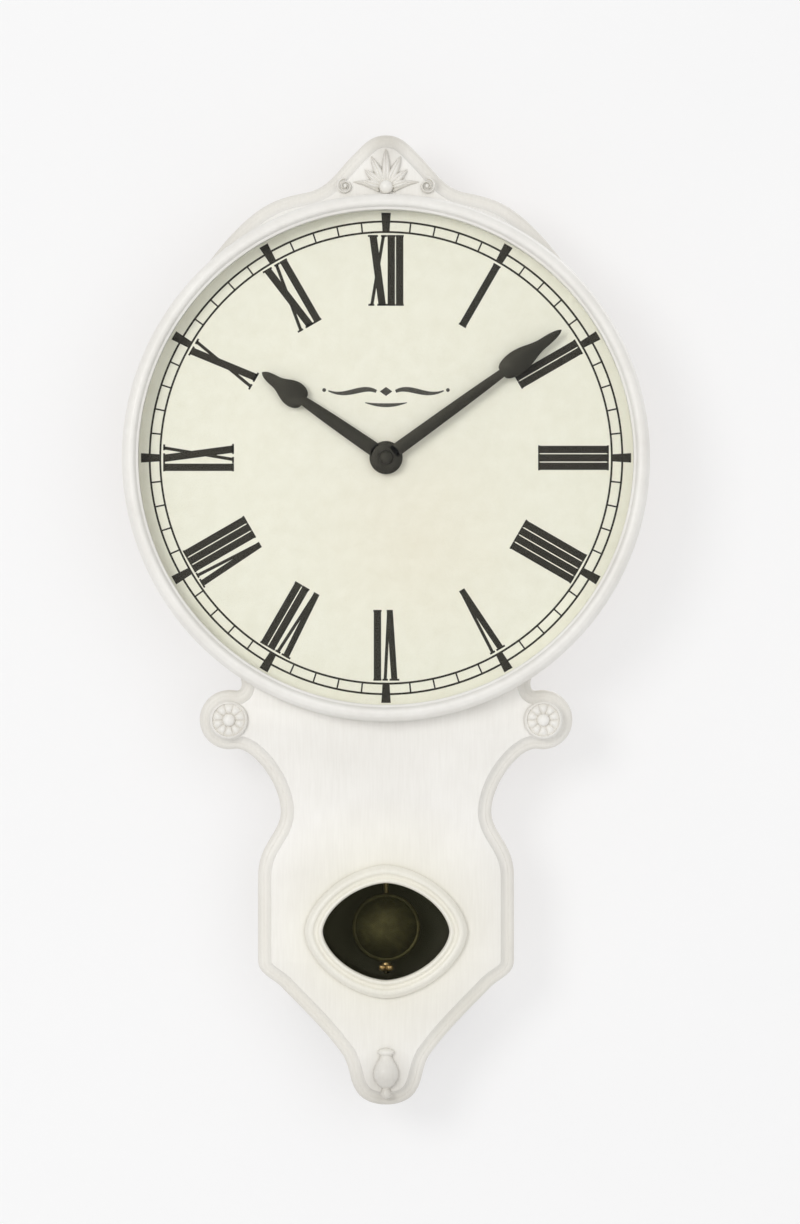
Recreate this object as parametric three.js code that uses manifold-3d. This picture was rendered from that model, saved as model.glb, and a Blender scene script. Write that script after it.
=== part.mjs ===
// A white drop-dial pendulum wall clock: a shaped front board with a turned bezel, a box and trunk behind it,
// a quartz movement with its own gear train, and a pendulum that swings behind an oval window.
//
// Millimetres, +Z up, front towards -Y. The origin is the seat of the wall screw in the hanger plate's
// keyhole, on the wall's plane. Pieces are laid out round the dial's centre: x to the right, z up, and a
// depth d that counts forward from the wall, so that y = -d.
import * as THREE from "three";
import Module from "manifold-3d";
import { mergeVertices } from "three/addons/utils/BufferGeometryUtils.js";

const wasm = await Module();
wasm.setup();

// ---- Driving dimensions ----
const GLUE = 0.3; // glue line or slack between two pieces that touch
const SCREW_SEAT_Z = 107; // the wall screw's seat above the dial's centre

const BACK = 1.8; // rear face of the back board, in front of the wall
const BACK_THICK = 4;
const BOX_FRONT = 46; // front edge of the box's walls
const WALL = 8; // thickness of the box's walls
const BOARD_THICK = 14;

const BEZEL_R = 151;
const SIGHT_R = 141; // visible dial inside the bezel
const BEZEL_BORE = 144.3;
const BEZEL_HIGH = 20;

const BOX_X = 84; // half the box's width
const BOX_TOP = 112;
const BOX_FOOT = -118;
const TRUNK_X = 52; // half the trunk's width
const TRUNK_FOOT = -311;
const TOP_RAIL = 18;

const WINDOW_Z = -271; // centre of the oval window
const WINDOW_A = 36.2; // half its width
const WINDOW_B = 27.8; // half its height
const WINDOW_ROUND = 1.7; // power of its outline: 2 would be an ellipse, less draws its ends to a point
const OVAL_STEPS = 44;

const PIVOT_Z = 12; // pendulum's pivot above the dial's centre
const BOB_R = 20;
const ROD_D = 22.5; // depth of the pendulum rod's axis
const ROD_R = 1.5;
const THREAD_R = 1.25; // core of the rod's screw thread
const THREAD_LONG = 12;
const NUT_SLACK = 0.85; // plain bore of the rating nut, clear of the thread's core
const ROD_EYE_Z = -42;
const ROD_FOOT_Z = -298;

const MINUTE_ANGLE = 54; // hands at nine minutes past ten, clockwise from twelve
const HOUR_ANGLE = 304.5;
const MINUTE_LONG = 124;
const HOUR_LONG = 86;

// Depths that follow from those
const BOX_REAR = BACK + BACK_THICK + GLUE;
const BOARD_REAR = BOX_FRONT + GLUE;
const BOARD_FRONT = BOARD_REAR + BOARD_THICK;
const DIAL_REAR = BOARD_FRONT + GLUE;
const DIAL_FRONT = DIAL_REAR + 0.8;

// ---- Materials ----
const paint = (colour, roughness, metalness = 0) =>
  new THREE.MeshStandardMaterial({ color: colour, roughness, metalness });
const white = paint(0xeeece6, 0.45);
const cream = paint(0xf0ecd8, 0.5);
const black = paint(0x14130f, 0.4);
const card = paint(0x171612, 0.9);
const hardboard = paint(0x7a5a3c, 0.8);
const plastic = paint(0x1e1e1f, 0.55);
const nylon = paint(0xe6e0cc, 0.5);
const brass = paint(0xb08a45, 0.3, 1);
const steel = paint(0xb9bbbd, 0.35, 1);
const copper = paint(0xa35a34, 0.4, 1);
const rubber = paint(0x2b2a28, 0.9);
const laminate = paint(0x2f5a36, 0.6);
const iron = paint(0x4a4a4c, 0.5, 1);
const glass = new THREE.MeshStandardMaterial({
  color: 0xf4f8f8,
  roughness: 0.05,
  transparent: true,
  opacity: 0.3,
});

// ---- Shape helpers ----
const clock = new THREE.Group();
clock.position.z = -SCREW_SEAT_Z;

function add(name, geometry, material) {
  const mesh = new THREE.Mesh(geometry, material);
  mesh.name = name;
  clock.add(mesh);
  return mesh;
}

// A closed geometry as a manifold solid, turned inside out if its faces point inwards.
function solid(geometry) {
  const bare = new THREE.BufferGeometry();
  const source = geometry.index ? geometry.toNonIndexed() : geometry;
  bare.setAttribute("position", source.getAttribute("position"));
  const merged = mergeVertices(bare, 1e-3);
  const triVerts = new Uint32Array(merged.index.array);
  const build = () =>
    new wasm.Manifold(
      new wasm.Mesh({ numProp: 3, vertProperties: merged.attributes.position.array, triVerts }),
    );
  const first = build();
  if (first.volume() > 0) return first;
  for (let i = 0; i < triVerts.length; i += 3)
    [triVerts[i + 1], triVerts[i + 2]] = [triVerts[i + 2], triVerts[i + 1]];
  return build();
}

function surface(body) {
  const mesh = body.getMesh();
  const geometry = new THREE.BufferGeometry();
  geometry.setAttribute("position", new THREE.BufferAttribute(new Float32Array(mesh.vertProperties), 3));
  geometry.setIndex(new THREE.BufferAttribute(new Uint32Array(mesh.triVerts), 1));
  geometry.computeVertexNormals();
  return geometry;
}

const union = (...bodies) => bodies.reduce((a, b) => a.add(b));
const cut = (body, ...tools) => tools.reduce((a, b) => a.subtract(b), body);

// A flat outline in x and z, made solid from depth near to depth far.
function plate(shape, near, far, segments = 12) {
  const geometry = new THREE.ExtrudeGeometry(shape, {
    depth: far - near,
    bevelEnabled: false,
    curveSegments: segments,
  });
  return solid(geometry.rotateX(Math.PI / 2).translate(0, -near, 0));
}

// The same with a rounded front edge of the given size.
function easedPlate(shape, near, far, ease, steps, segments = 12) {
  const geometry = new THREE.ExtrudeGeometry(shape, {
    depth: far - near - ease,
    bevelThickness: ease,
    bevelSize: ease,
    bevelOffset: -ease,
    bevelSegments: steps,
    curveSegments: segments,
  });
  const whole = solid(geometry.rotateX(Math.PI / 2).translate(0, -near, 0));
  return whole.intersect(block(-400, 400, near, far, -500, 500));
}

// A profile of [radius, depth] points turned round the axis that runs from back to front through (x, z).
function turned(profile, segments, x = 0, z = 0) {
  const points = profile.map(([r, d]) => new THREE.Vector2(r, d));
  const geometry = new THREE.LatheGeometry(points, segments);
  return solid(geometry.rotateX(Math.PI).translate(x, 0, z));
}

// A profile of [radius, z] points turned round an upright axis.
function turnedUpright(profile, segments, x, d) {
  const points = profile.map(([r, z]) => new THREE.Vector2(r, z));
  const geometry = new THREE.LatheGeometry(points, segments);
  return solid(geometry.rotateX(Math.PI / 2).translate(x, -d, 0));
}

const disc = (r, near, far, segments = 24, x = 0, z = 0) =>
  turned([[0, near], [r, near], [r, far], [0, far]], segments, x, z);

const tube = (inner, outer, near, far, segments = 24, x = 0, z = 0) =>
  turned([[inner, near], [outer, near], [outer, far], [inner, far], [inner, near]], segments, x, z);

const post = (r, low, high, x, d, segments = 16) =>
  turnedUpright([[0, low], [r, low], [r, high], [0, high]], segments, x, d);

// A box from its limits in x, depth and z.
function block(x0, x1, near, far, z0, z1) {
  const geometry = new THREE.BoxGeometry(x1 - x0, far - near, z1 - z0);
  return solid(geometry.translate((x0 + x1) / 2, -(near + far) / 2, (z0 + z1) / 2));
}

// The window's lemon-like outline.
function oval(a, b, z) {
  const drawn = (share) => Math.sign(share) * Math.abs(share) ** (2 / WINDOW_ROUND);
  const points = [];
  for (let k = 0; k < OVAL_STEPS; k++) {
    const turn = (2 * Math.PI * k) / OVAL_STEPS;
    points.push(new THREE.Vector2(a * drawn(Math.cos(turn)), z + b * drawn(Math.sin(turn))));
  }
  return new THREE.Shape(points);
}

function rectangle(x0, x1, z0, z1, corner = 0) {
  const shape = new THREE.Shape();
  shape.moveTo(x0 + corner, z0);
  shape.lineTo(x1 - corner, z0);
  shape.quadraticCurveTo(x1, z0, x1, z0 + corner);
  shape.lineTo(x1, z1 - corner);
  shape.quadraticCurveTo(x1, z1, x1 - corner, z1);
  shape.lineTo(x0 + corner, z1);
  shape.quadraticCurveTo(x0, z1, x0, z1 - corner);
  shape.lineTo(x0, z0 + corner);
  shape.quadraticCurveTo(x0, z0, x0 + corner, z0);
  return shape;
}

const degrees = (a) => (a * Math.PI) / 180;

// ---- Front board ----
const BOARD_R = 148; // hidden behind the bezel
const EAR = { x: 90, z: -150, r: 17 };
const RIM_EASE = 4;

// Right half of the board's outline, from the crest's peak down to the pendant's tip.
function boardSide() {
  const v = (x, z) => new THREE.Vector2(x, z);
  const bend = (...p) => new THREE.CubicBezierCurve(...p.map(([x, z]) => v(x, z)));
  const round = (cx, cz, r, from, to) =>
    new THREE.EllipseCurve(cx, cz, r, r, degrees(from), degrees(to), true);
  const pieces = [
    [bend([0, 185.5], [9, 185.5], [13, 180], [20, 173]), 6],
    [bend([20, 173], [28, 165], [33, 155], [46, 152.5]), 7],
    [bend([46, 152.5], [54, 151], [60, 149.5], [66, 146.6]), 3],
    [bend([66, 146.6], [84, 138], [103.5, 112], [113.37, 95.13]), 6],
    [round(0, 0, BOARD_R, 40, -53), 20],
    [bend([89.07, -118.2], [82.5, -123.2], [80.2, -134.5], [87.05, -133.26]), 6],
    [round(EAR.x, EAR.z, EAR.r, 100, -100), 14],
    [bend([87.05, -166.74], [78, -165.2], [62, -184], [60.5, -201]), 8],
    [bend([60.5, -201], [59.5, -215], [73.5, -220], [73.5, -240]), 7],
    [bend([73.5, -288], [73.5, -296], [66, -298], [60.5, -303]), 5],
    [bend([60.5, -303], [52, -312], [34, -329], [24.5, -343]), 6],
    [bend([24.5, -343], [20.5, -350], [21, -357], [17.5, -362.5]), 4],
    [bend([17.5, -362.5], [14.5, -368], [8, -371], [0, -371]), 4],
  ];
  const points = [];
  for (const [curve, steps] of pieces)
    for (const p of curve.getPoints(steps)) {
      const last = points.at(-1);
      if (!last || last.distanceTo(p) > 0.5) points.push(p);
    }
  return points;
}

function boardOutline() {
  const right = boardSide();
  const left = right.slice(1, -1).reverse().map((p) => new THREE.Vector2(-p.x, p.y));
  return new THREE.Shape([...right, ...left].reverse());
}

function frontBoard() {
  const board = easedPlate(boardOutline(), BOARD_REAR, BOARD_FRONT, RIM_EASE, 2);
  const sight = plate(oval(WINDOW_A + 1, WINDOW_B + 1, WINDOW_Z), 0, 90);
  return cut(board, sight, disc(BUSH_R + GLUE, 0, 90));
}

// ---- Applied ornaments ----
const APPLIED = BOARD_FRONT + GLUE; // rear face of what is glued on the board
const CREST = { lobes: 7, root: 153.5, from: 168, to: 12, scrollX: 27 };

// A scalloped shell over a sill that ends in two scrolls.
function crestShell() {
  const { lobes, root, from, to, scrollX } = CREST;
  const at = (angle, reach) => [reach * Math.cos(angle), root + 1 + reach * Math.sin(angle)];
  const shape = new THREE.Shape();
  shape.moveTo(-9, root);
  for (let i = 0; i < lobes; i++) {
    const start = degrees(from + ((to - from) * i) / lobes);
    const end = degrees(from + ((to - from) * (i + 1)) / lobes);
    const middle = (start + end) / 2;
    const reach = 19 + 6 * Math.sin(middle) ** 2;
    shape.lineTo(...at(start, reach - 3));
    shape.quadraticCurveTo(...at(middle, reach + 3), ...at(end, reach - 3));
  }
  shape.lineTo(9, root);
  const shell = easedPlate(shape, APPLIED, APPLIED + 5.2, 1.2, 1, 4);
  const scrolls = [-1, 1].map((side) => disc(4.5, APPLIED, APPLIED + 3.7, 16, side * scrollX, root + 1));
  const sill = block(-scrollX, scrollX, APPLIED, APPLIED + 2.7, root - 1.3, root + 2);
  return union(shell, sill, ...scrolls);
}

function rosette(side) {
  const profile = [
    [0, 0], [11, 0], [11, 1.6], [9, 3.4], [7, 2], [4.4, 2], [3, 4.6], [0, 5.4],
  ];
  const raised = profile.map(([r, high]) => [r, APPLIED + high]);
  return turned(raised, 20, side * EAR.x, EAR.z);
}

function pendantDrop() {
  const profile = [
    [0, -367], [2.6, -366], [3.4, -363.5], [2.2, -361], [5.4, -358], [7.6, -353], [7, -348],
    [4, -343.5], [3.2, -342], [5, -340.5], [5, -338.5], [0, -337.5],
  ];
  const whole = turnedUpright(profile, 20, 0, APPLIED);
  return whole.intersect(block(-30, 30, APPLIED, APPLIED + 20, -380, -330));
}

function windowFrame() {
  const ring = oval(WINDOW_A + 10.5, WINDOW_B + 10.5, WINDOW_Z);
  ring.holes.push(oval(WINDOW_A, WINDOW_B, WINDOW_Z));
  return easedPlate(ring, APPLIED, BOARD_FRONT + 6, 2.4, 2);
}

// ---- Box, trunk and back ----
const BACK_SCREWS = [[-80, 60], [80, 60], [-48, -290], [48, -290]];
const HANGER_SCREWS = [[-21, 103], [21, 103]];
const KEY_SLOT_R = 2.2;
const KEY_ENTRY = { z: 101.8, r: 4.4 };
const KEY_TOP = SCREW_SEAT_Z - 0.2;
const KEY_POCKET = { x: 8, foot: 98, top: 109.5, deep: 10 }; // room behind the keyhole for the screw's head
const pilotHoles = (places, deep) => places.map(([x, z]) => disc(2.1, -1, deep, 12, x, z));

function topRail() {
  const half = BOX_X - WALL - GLUE;
  const rail = block(-half, half, BOX_REAR, BOX_FRONT, BOX_TOP - TOP_RAIL, BOX_TOP);
  const { x, foot, top, deep } = KEY_POCKET;
  const pocket = block(-x, x, BOX_REAR - 1, BOX_REAR + deep, foot, top);
  return cut(rail, pocket, ...pilotHoles(HANGER_SCREWS, 24));
}

// A board between the back and the front board, from inner to outer on one side of the clock.
function sideBoard(side, inner, outer, foot, top) {
  const [a, b] = side < 0 ? [-outer, -inner] : [inner, outer];
  return block(a, b, BOX_REAR, BOX_FRONT, foot, top);
}

const onSide = (side) => BACK_SCREWS.filter(([x]) => x * side > 0);

const boxSide = (side) =>
  cut(sideBoard(side, BOX_X - WALL, BOX_X, BOX_FOOT, BOX_TOP), ...pilotHoles(onSide(side), 20));

const shoulder = (side) =>
  sideBoard(side, TRUNK_X + GLUE, BOX_X - WALL - GLUE, BOX_FOOT, BOX_FOOT + WALL);

const trunkSide = (side) =>
  cut(sideBoard(side, TRUNK_X - WALL, TRUNK_X, TRUNK_FOOT, BOX_FOOT + WALL), ...pilotHoles(onSide(side), 20));

const TRUNK_INNER = TRUNK_X - WALL - GLUE;
const trunkBottom = () => block(-TRUNK_INNER, TRUNK_INNER, BOX_REAR, BOX_FRONT, TRUNK_FOOT, TRUNK_FOOT + 6);
const trunkLining = () =>
  block(-TRUNK_INNER, TRUNK_INNER, BOX_REAR, BOX_REAR + 1, TRUNK_FOOT + 6 + GLUE, BOX_FOOT + WALL);

const SERVICE = { x: 62, top: 56, foot: -84 }; // opening behind the movement

function backBoard() {
  const shape = new THREE.Shape();
  shape.moveTo(-BOX_X, BOX_TOP);
  for (const [x, z] of [
    [-BOX_X, BOX_FOOT], [-TRUNK_X, BOX_FOOT], [-TRUNK_X, TRUNK_FOOT],
    [TRUNK_X, TRUNK_FOOT], [TRUNK_X, BOX_FOOT], [BOX_X, BOX_FOOT], [BOX_X, BOX_TOP],
  ])
    shape.lineTo(x, z);
  shape.holes.push(rectangle(-SERVICE.x, SERVICE.x, SERVICE.foot, SERVICE.top, 8));
  shape.holes.push(rectangle(-KEY_POCKET.x, KEY_POCKET.x, KEY_POCKET.foot, KEY_POCKET.top, 2));
  const holes = pilotHoles([...BACK_SCREWS, ...HANGER_SCREWS], 10);
  return cut(plate(shape, BACK, BACK + BACK_THICK, 4), ...holes);
}

// Pan-headed screw through the back board into the edge of a wall.
const backScrew = ([x, z]) =>
  turned(
    [[0, 0.2], [2.6, 0.2], [3.4, 0.8], [3.4, 1.5], [1.8, 1.5], [1.8, 14], [0, 17]],
    12, x, z,
  );

// Countersunk screw, flush in the hanger plate.
const hangerScrew = ([x, z]) =>
  turned([[0, 0.2], [3.4, 0.2], [1.8, 1.4], [1.8, 18], [0, 21]], 12, x, z);

function hangerPlate() {
  const entry = disc(KEY_ENTRY.r, -1, 5, 20, 0, KEY_ENTRY.z);
  const slot = block(-KEY_SLOT_R, KEY_SLOT_R, -1, 5, KEY_ENTRY.z, KEY_TOP);
  const seat = disc(KEY_SLOT_R, -1, 5, 16, 0, KEY_TOP);
  const sinks = HANGER_SCREWS.map(([x, z]) =>
    turned([[0, -0.1], [4.1, -0.1], [2.3, 1.3], [2.3, 5], [0, 5]], 12, x, z),
  );
  return cut(plate(rectangle(-28, 28, 95, 111, 4), 0, BACK - GLUE, 4), entry, slot, seat, ...sinks);
}

const wallPad = (side) => disc(7, 0, BACK - GLUE, 20, side * 34, -286);

// ---- Bezel, dial and glass ----
const GLASS_REAR = 73.5;
const GLASS_FRONT = 75.5;

function bezelRing() {
  const front = DIAL_REAR + BEZEL_HIGH;
  const profile = [
    [BEZEL_BORE, DIAL_REAR], [BEZEL_R, DIAL_REAR], [BEZEL_R, DIAL_REAR + 3.4],
    [BEZEL_R - 1.4, DIAL_REAR + 4.6], [BEZEL_R - 0.6, front - 7], [BEZEL_R - 1.6, front - 3],
    [BEZEL_R - 4, front - 0.4], [BEZEL_R - 6, front],
    [SIGHT_R + 1.6, front - 1.6], [SIGHT_R, front - 3], [SIGHT_R, GLASS_FRONT + GLUE],
    [BEZEL_BORE, GLASS_FRONT + GLUE], [BEZEL_BORE, DIAL_REAR],
  ];
  return turned(profile, 64);
}

const GLASS_R = BEZEL_BORE - 0.8;
const dialGlass = () => disc(GLASS_R, GLASS_REAR, GLASS_FRONT, 64);
const dialSpacer = () => tube(GLASS_R - 2, GLASS_R, DIAL_FRONT + GLUE, GLASS_REAR - GLUE, 48);
const dialPlate = () => tube(BUSH_R + GLUE, GLASS_R, DIAL_REAR, DIAL_FRONT, 60);

// ---- Oval window ----
const PANE_THICK = 2;
const PANE_LAP = 5; // how far the pane reaches behind the board, past the sight edge
const RETAINER_THICK = 1.5;
const paneOutline = () => oval(WINDOW_A + PANE_LAP, WINDOW_B + PANE_LAP, WINDOW_Z);
const windowGlass = () => plate(paneOutline(), BOX_FRONT - PANE_THICK, BOX_FRONT);

function windowRetainer() {
  const ring = paneOutline();
  ring.holes.push(oval(WINDOW_A + 1.5, WINDOW_B + 1.5, WINDOW_Z));
  const front = BOX_FRONT - PANE_THICK - GLUE;
  return plate(ring, front - RETAINER_THICK, front);
}

// ---- Movement ----
const CASE_X = 30; // half the movement's width
const CASE_TOP = 38;
const CASE_FOOT = -60;
const CASE_REAR = 29;
const CASE_FRONT = BOX_FRONT;
const CASE_SPLIT = 37.5; // where the two shells meet
const SKIN = 1.5; // shells' wall
const BUSH_R = 4.4;
const BUSH_BORE = 3.1;
const BUSH_FRONT = 65.6;

// Wheels: teeth and module. Each arbor's place follows from the pitch radii.
const CENTRE_WHEEL = { teeth: 40, module: 0.576 };
const THIRD_PINION = { teeth: 8, module: 0.576 };
const THIRD_WHEEL = { teeth: 40, module: 0.45 };
const ROTOR_PINION = { teeth: 8, module: 0.45 };
const CANNON_PINION = { teeth: 10, module: 0.54 };
const MOTION_WHEEL = { teeth: 30, module: 0.54 };
const MOTION_PINION = { teeth: 8, module: 0.54 };
const HOUR_WHEEL = { teeth: 32, module: 0.54 };
const SETTING_PINION = { teeth: 10, module: 0.54 };

const pitchRadius = (gear) => (gear.teeth * gear.module) / 2;
const beside = (place, distance, angle) => ({
  x: place.x + distance * Math.cos(degrees(angle)),
  z: place.z + distance * Math.sin(degrees(angle)),
});
const apart = (a, b) => pitchRadius(a) + pitchRadius(b);

const CENTRE = { x: 0, z: 0 };
const THIRD_LINE = 135; // direction from the centre arbor to the third wheel's
const ROTOR_LINE = 200;
const MOTION_LINE = -20;
const SETTING_LINE = -60;
const THIRD = beside(CENTRE, apart(CENTRE_WHEEL, THIRD_PINION), THIRD_LINE);
const ROTOR = beside(THIRD, apart(THIRD_WHEEL, ROTOR_PINION), ROTOR_LINE);
const MOTION = beside(CENTRE, apart(CANNON_PINION, MOTION_WHEEL), MOTION_LINE);
const SETTING = beside(MOTION, apart(MOTION_WHEEL, SETTING_PINION), SETTING_LINE);

// Angle that puts a gear in mesh with one that is turned by `turn`, on the line from that one to this.
const meshed = (gear, driver, turn, line) =>
  line + 180 - ((turn - line) * driver.teeth) / gear.teeth - 180 / gear.teeth;

const PRESSURE_ANGLE = 20;
const TOOTH_TIP = 0.7; // addendum, dedendum and tooth width, as shares of the module and the pitch
const TOOTH_ROOT = 1.15;
const TOOTH_SHARE = 0.36;
const WHEEL_STEPS = 2; // points on each flank
const PINION_STEPS = 3;

// An involute gear's solid, with a tooth's middle at `turn` degrees from +X.
function toothed(gear, [near, far], place, turn, steps) {
  const pitch = pitchRadius(gear);
  const base = pitch * Math.cos(degrees(PRESSURE_ANGLE));
  const roll = (r) => {
    const a = Math.acos(Math.min(1, base / r));
    return Math.tan(a) - a;
  };
  const half = (r) => (TOOTH_SHARE * Math.PI) / gear.teeth + roll(pitch) - roll(Math.max(r, base));
  const low = pitch - TOOTH_ROOT * gear.module;
  const high = pitch + TOOTH_TIP * gear.module;
  const points = [];
  for (let t = 0; t < gear.teeth; t++) {
    const middle = degrees(turn) + (2 * Math.PI * t) / gear.teeth;
    for (let i = -steps; i <= steps; i++) {
      if (i === 0) continue;
      const r = low + ((high - low) * (steps - Math.abs(i))) / (steps - 1);
      const a = middle + Math.sign(i) * half(r);
      points.push(new THREE.Vector2(place.x + r * Math.cos(a), place.z + r * Math.sin(a)));
    }
  }
  return plate(new THREE.Shape(points), near, far);
}

const hub = (r, [near, far], place, segments = 16) => disc(r, near, far, segments, place.x, place.z);

// Rear and front depth of each layer of the train
const PIVOTS = [29.8, 45.2];
const ROTOR_PINION_D = [32.2, 35];
const ROTOR_MAGNET_D = [35, 38.4];
const THIRD_WHEEL_D = [32.8, 34];
const THIRD_PINION_D = [35, 37.4];
const CENTRE_WHEEL_D = [35.6, 36.8];
const CANNON_D = [38.2, 40.1];
const MOTION_WHEEL_D = [38.6, 39.8];
const MOTION_PINION_D = [39.8, 42.5];
const HOUR_WHEEL_D = [41, 42.2];
const THROUGH = [20, 90];

function centreWheel() {
  const wheel = toothed(CENTRE_WHEEL, CENTRE_WHEEL_D, CENTRE, THIRD_LINE, WHEEL_STEPS);
  const cannon = toothed(CANNON_PINION, CANNON_D, CENTRE, MOTION_LINE, PINION_STEPS);
  const arbor = turned(
    [
      [0, PIVOTS[0]], [0.7, PIVOTS[0]], [0.7, 31], [1.5, 31], [1.5, 34.8], [3, 34.8], [3, 37.4],
      [1.5, 37.4], [1.5, 68.2], [1.25, 68.2], [1.25, 70.8], [0, 70.8],
    ],
    16,
  );
  return union(wheel, cannon, arbor);
}

function thirdWheel() {
  const pinionTurn = meshed(THIRD_PINION, CENTRE_WHEEL, THIRD_LINE, THIRD_LINE);
  const pinion = toothed(THIRD_PINION, THIRD_PINION_D, THIRD, pinionTurn, PINION_STEPS);
  const wheel = toothed(THIRD_WHEEL, THIRD_WHEEL_D, THIRD, ROTOR_LINE, WHEEL_STEPS);
  const boss = hub(2.2, [THIRD_WHEEL_D[0] + 0.2, THIRD_PINION_D[0]], THIRD, 12);
  return union(wheel, pinion, boss, hub(0.7, PIVOTS, THIRD, 10));
}

function rotor() {
  const turn = meshed(ROTOR_PINION, THIRD_WHEEL, ROTOR_LINE, ROTOR_LINE);
  const pinion = toothed(ROTOR_PINION, ROTOR_PINION_D, ROTOR, turn, PINION_STEPS);
  return union(pinion, hub(3.2, ROTOR_MAGNET_D, ROTOR, 20), hub(0.6, PIVOTS, ROTOR, 10));
}

const MOTION_TURN = meshed(MOTION_WHEEL, CANNON_PINION, MOTION_LINE, MOTION_LINE);

function motionWheel() {
  const wheel = toothed(MOTION_WHEEL, MOTION_WHEEL_D, MOTION, MOTION_TURN, WHEEL_STEPS);
  const pinion = toothed(MOTION_PINION, MOTION_PINION_D, MOTION, MOTION_LINE, PINION_STEPS);
  return cut(union(wheel, pinion), hub(1.1, THROUGH, MOTION, 12));
}

function hourWheel() {
  const turn = meshed(HOUR_WHEEL, MOTION_PINION, MOTION_LINE, MOTION_LINE + 180);
  const wheel = toothed(HOUR_WHEEL, HOUR_WHEEL_D, CENTRE, turn, WHEEL_STEPS);
  const pipe = hub(2.75, [HOUR_WHEEL_D[0], 67.6], CENTRE, 24);
  const flange = hub(4.6, [HOUR_WHEEL_D[0], 42.6], CENTRE, 24);
  return cut(union(wheel, pipe, flange), hub(1.95, THROUGH, CENTRE, 24));
}

function settingKnob() {
  const turn = meshed(SETTING_PINION, MOTION_WHEEL, MOTION_TURN, SETTING_LINE);
  const pinion = toothed(SETTING_PINION, CANNON_D, SETTING, turn, PINION_STEPS);
  const grips = [];
  for (let i = 0; i < 12; i++) grips.push(hub(0.8, THROUGH, beside(SETTING, 6.3, i * 30), 6));
  const knob = cut(hub(6.2, [23.6, CASE_REAR - 0.6], SETTING, 24), ...grips);
  return union(pinion, hub(1.2, [24, 44], SETTING, 12), knob);
}

const tray = (near, far, inNear, inFar) =>
  cut(
    plate(rectangle(-CASE_X, CASE_X, CASE_FOOT, CASE_TOP, 5), near, far, 4),
    block(-CASE_X + SKIN, CASE_X - SKIN, inNear, inFar, CASE_FOOT + SKIN, CASE_TOP - SKIN),
  );

const PIVOT_HOLE = 1;

function frontShell() {
  const shell = tray(CASE_SPLIT, CASE_FRONT, CASE_SPLIT - 1, CASE_FRONT - SKIN);
  const stud = hub(0.85, [CASE_SPLIT + 0.7, CASE_FRONT - 1], MOTION, 12);
  const pivots = [THIRD, ROTOR].map((p) => hub(PIVOT_HOLE, [44, PIVOTS[1] + 0.2], p, 12));
  return cut(union(shell, stud), disc(BUSH_R + GLUE, 40, 50), ...pivots);
}

const BATTERY = { z: 28.5, d: 37.1, r: 7.05, half: 24.7 };

function rearShell() {
  const shell = tray(CASE_REAR, CASE_SPLIT - GLUE, CASE_REAR + SKIN, CASE_SPLIT + 1);
  const bay = block(-26.6, 26.6, CASE_REAR - 1, CASE_REAR + 4, BATTERY.z - 8, CASE_TOP - SKIN);
  const pivots = [THIRD, ROTOR, CENTRE].map((p) => hub(PIVOT_HOLE, [PIVOTS[0] - 0.2, 31], p, 12));
  const pin = disc(PIN_R + 0.2, CASE_REAR - 1, CASE_REAR + 3, 16, 0, PIVOT_Z);
  const knobHole = hub(1.6, [CASE_REAR - 1, CASE_REAR + 3], SETTING, 12);
  return cut(shell, bay, knobHole, pin, ...pivots);
}

const centreBush = () =>
  turned(
    [
      [BUSH_BORE, 42.9], [7, 42.9], [7, 44.2], [BUSH_R, 44.2], [BUSH_R, BUSH_FRONT], [BUSH_BORE, BUSH_FRONT],
      [BUSH_BORE, 42.9],
    ],
    24,
  );

const dialWasher = () => tube(BUSH_R + GLUE, 8.5, DIAL_FRONT + GLUE, DIAL_FRONT + 0.9, 24);

function hexNut() {
  const near = DIAL_FRONT + 0.9 + GLUE;
  return cut(disc(7, near, near + 2.4, 6), disc(BUSH_R + GLUE, 50, 80));
}

// ---- Electrics ----
const BOARD_D = 42.4;

function circuitBoard() {
  const board = block(-26, 26, BOARD_D, BOARD_D + 1, -57, -18);
  const chip = block(-6, 4, BOARD_D - 1.4, BOARD_D + 0.5, -34, -26);
  return union(board, chip);
}

const quartzCrystal = () => post(1.5, -34, -27.5, 14, BOARD_D - GLUE - 1.5, 12);

const MOTOR_COIL = { x: -23.5, low: -33, high: -11, d: 36.9 };

function motorCoil() {
  const { x, low, high, d } = MOTOR_COIL;
  const profile = [
    [1.6, low], [3.9, low], [3.9, low + 1], [3.3, low + 1], [3.3, high - 1], [3.9, high - 1],
    [3.9, high], [1.6, high], [1.6, low],
  ];
  return turnedUpright(profile, 16, x, d);
}

function stator() {
  const { x, low, high, d } = MOTOR_COIL;
  const near = d - 0.5;
  const far = d + 0.5;
  const core = block(x - 0.9, x + 0.9, near, far, low - 3, high + 2);
  const pole = block(ROTOR.x - 5.6, ROTOR.x + 5, near, far, high + 1, ROTOR.z + 5.6);
  const foot = block(x - 2, -13.5, near, far, low - 3, low - 0.6);
  const riser = block(-15.5, -13.5, near, far, low - 3, high + 3);
  return cut(union(core, pole, foot, riser), hub(3.9, THROUGH, ROTOR, 20));
}

const pendulumCoil = () =>
  turned(
    [
      [2, 31.2], [9, 31.2], [9, 32.2], [8, 32.2], [8, 38], [9, 38], [9, 39], [2, 39], [2, 31.2],
    ],
    16, 0, -44,
  );

// A profile of [radius, x] points turned round the battery's axis.
function turnedAcross(profile, segments, x) {
  const points = profile.map(([r, along]) => new THREE.Vector2(r, along));
  const geometry = new THREE.LatheGeometry(points, segments);
  return solid(geometry.rotateZ(-Math.PI / 2).translate(x, -BATTERY.d, BATTERY.z));
}

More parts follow.
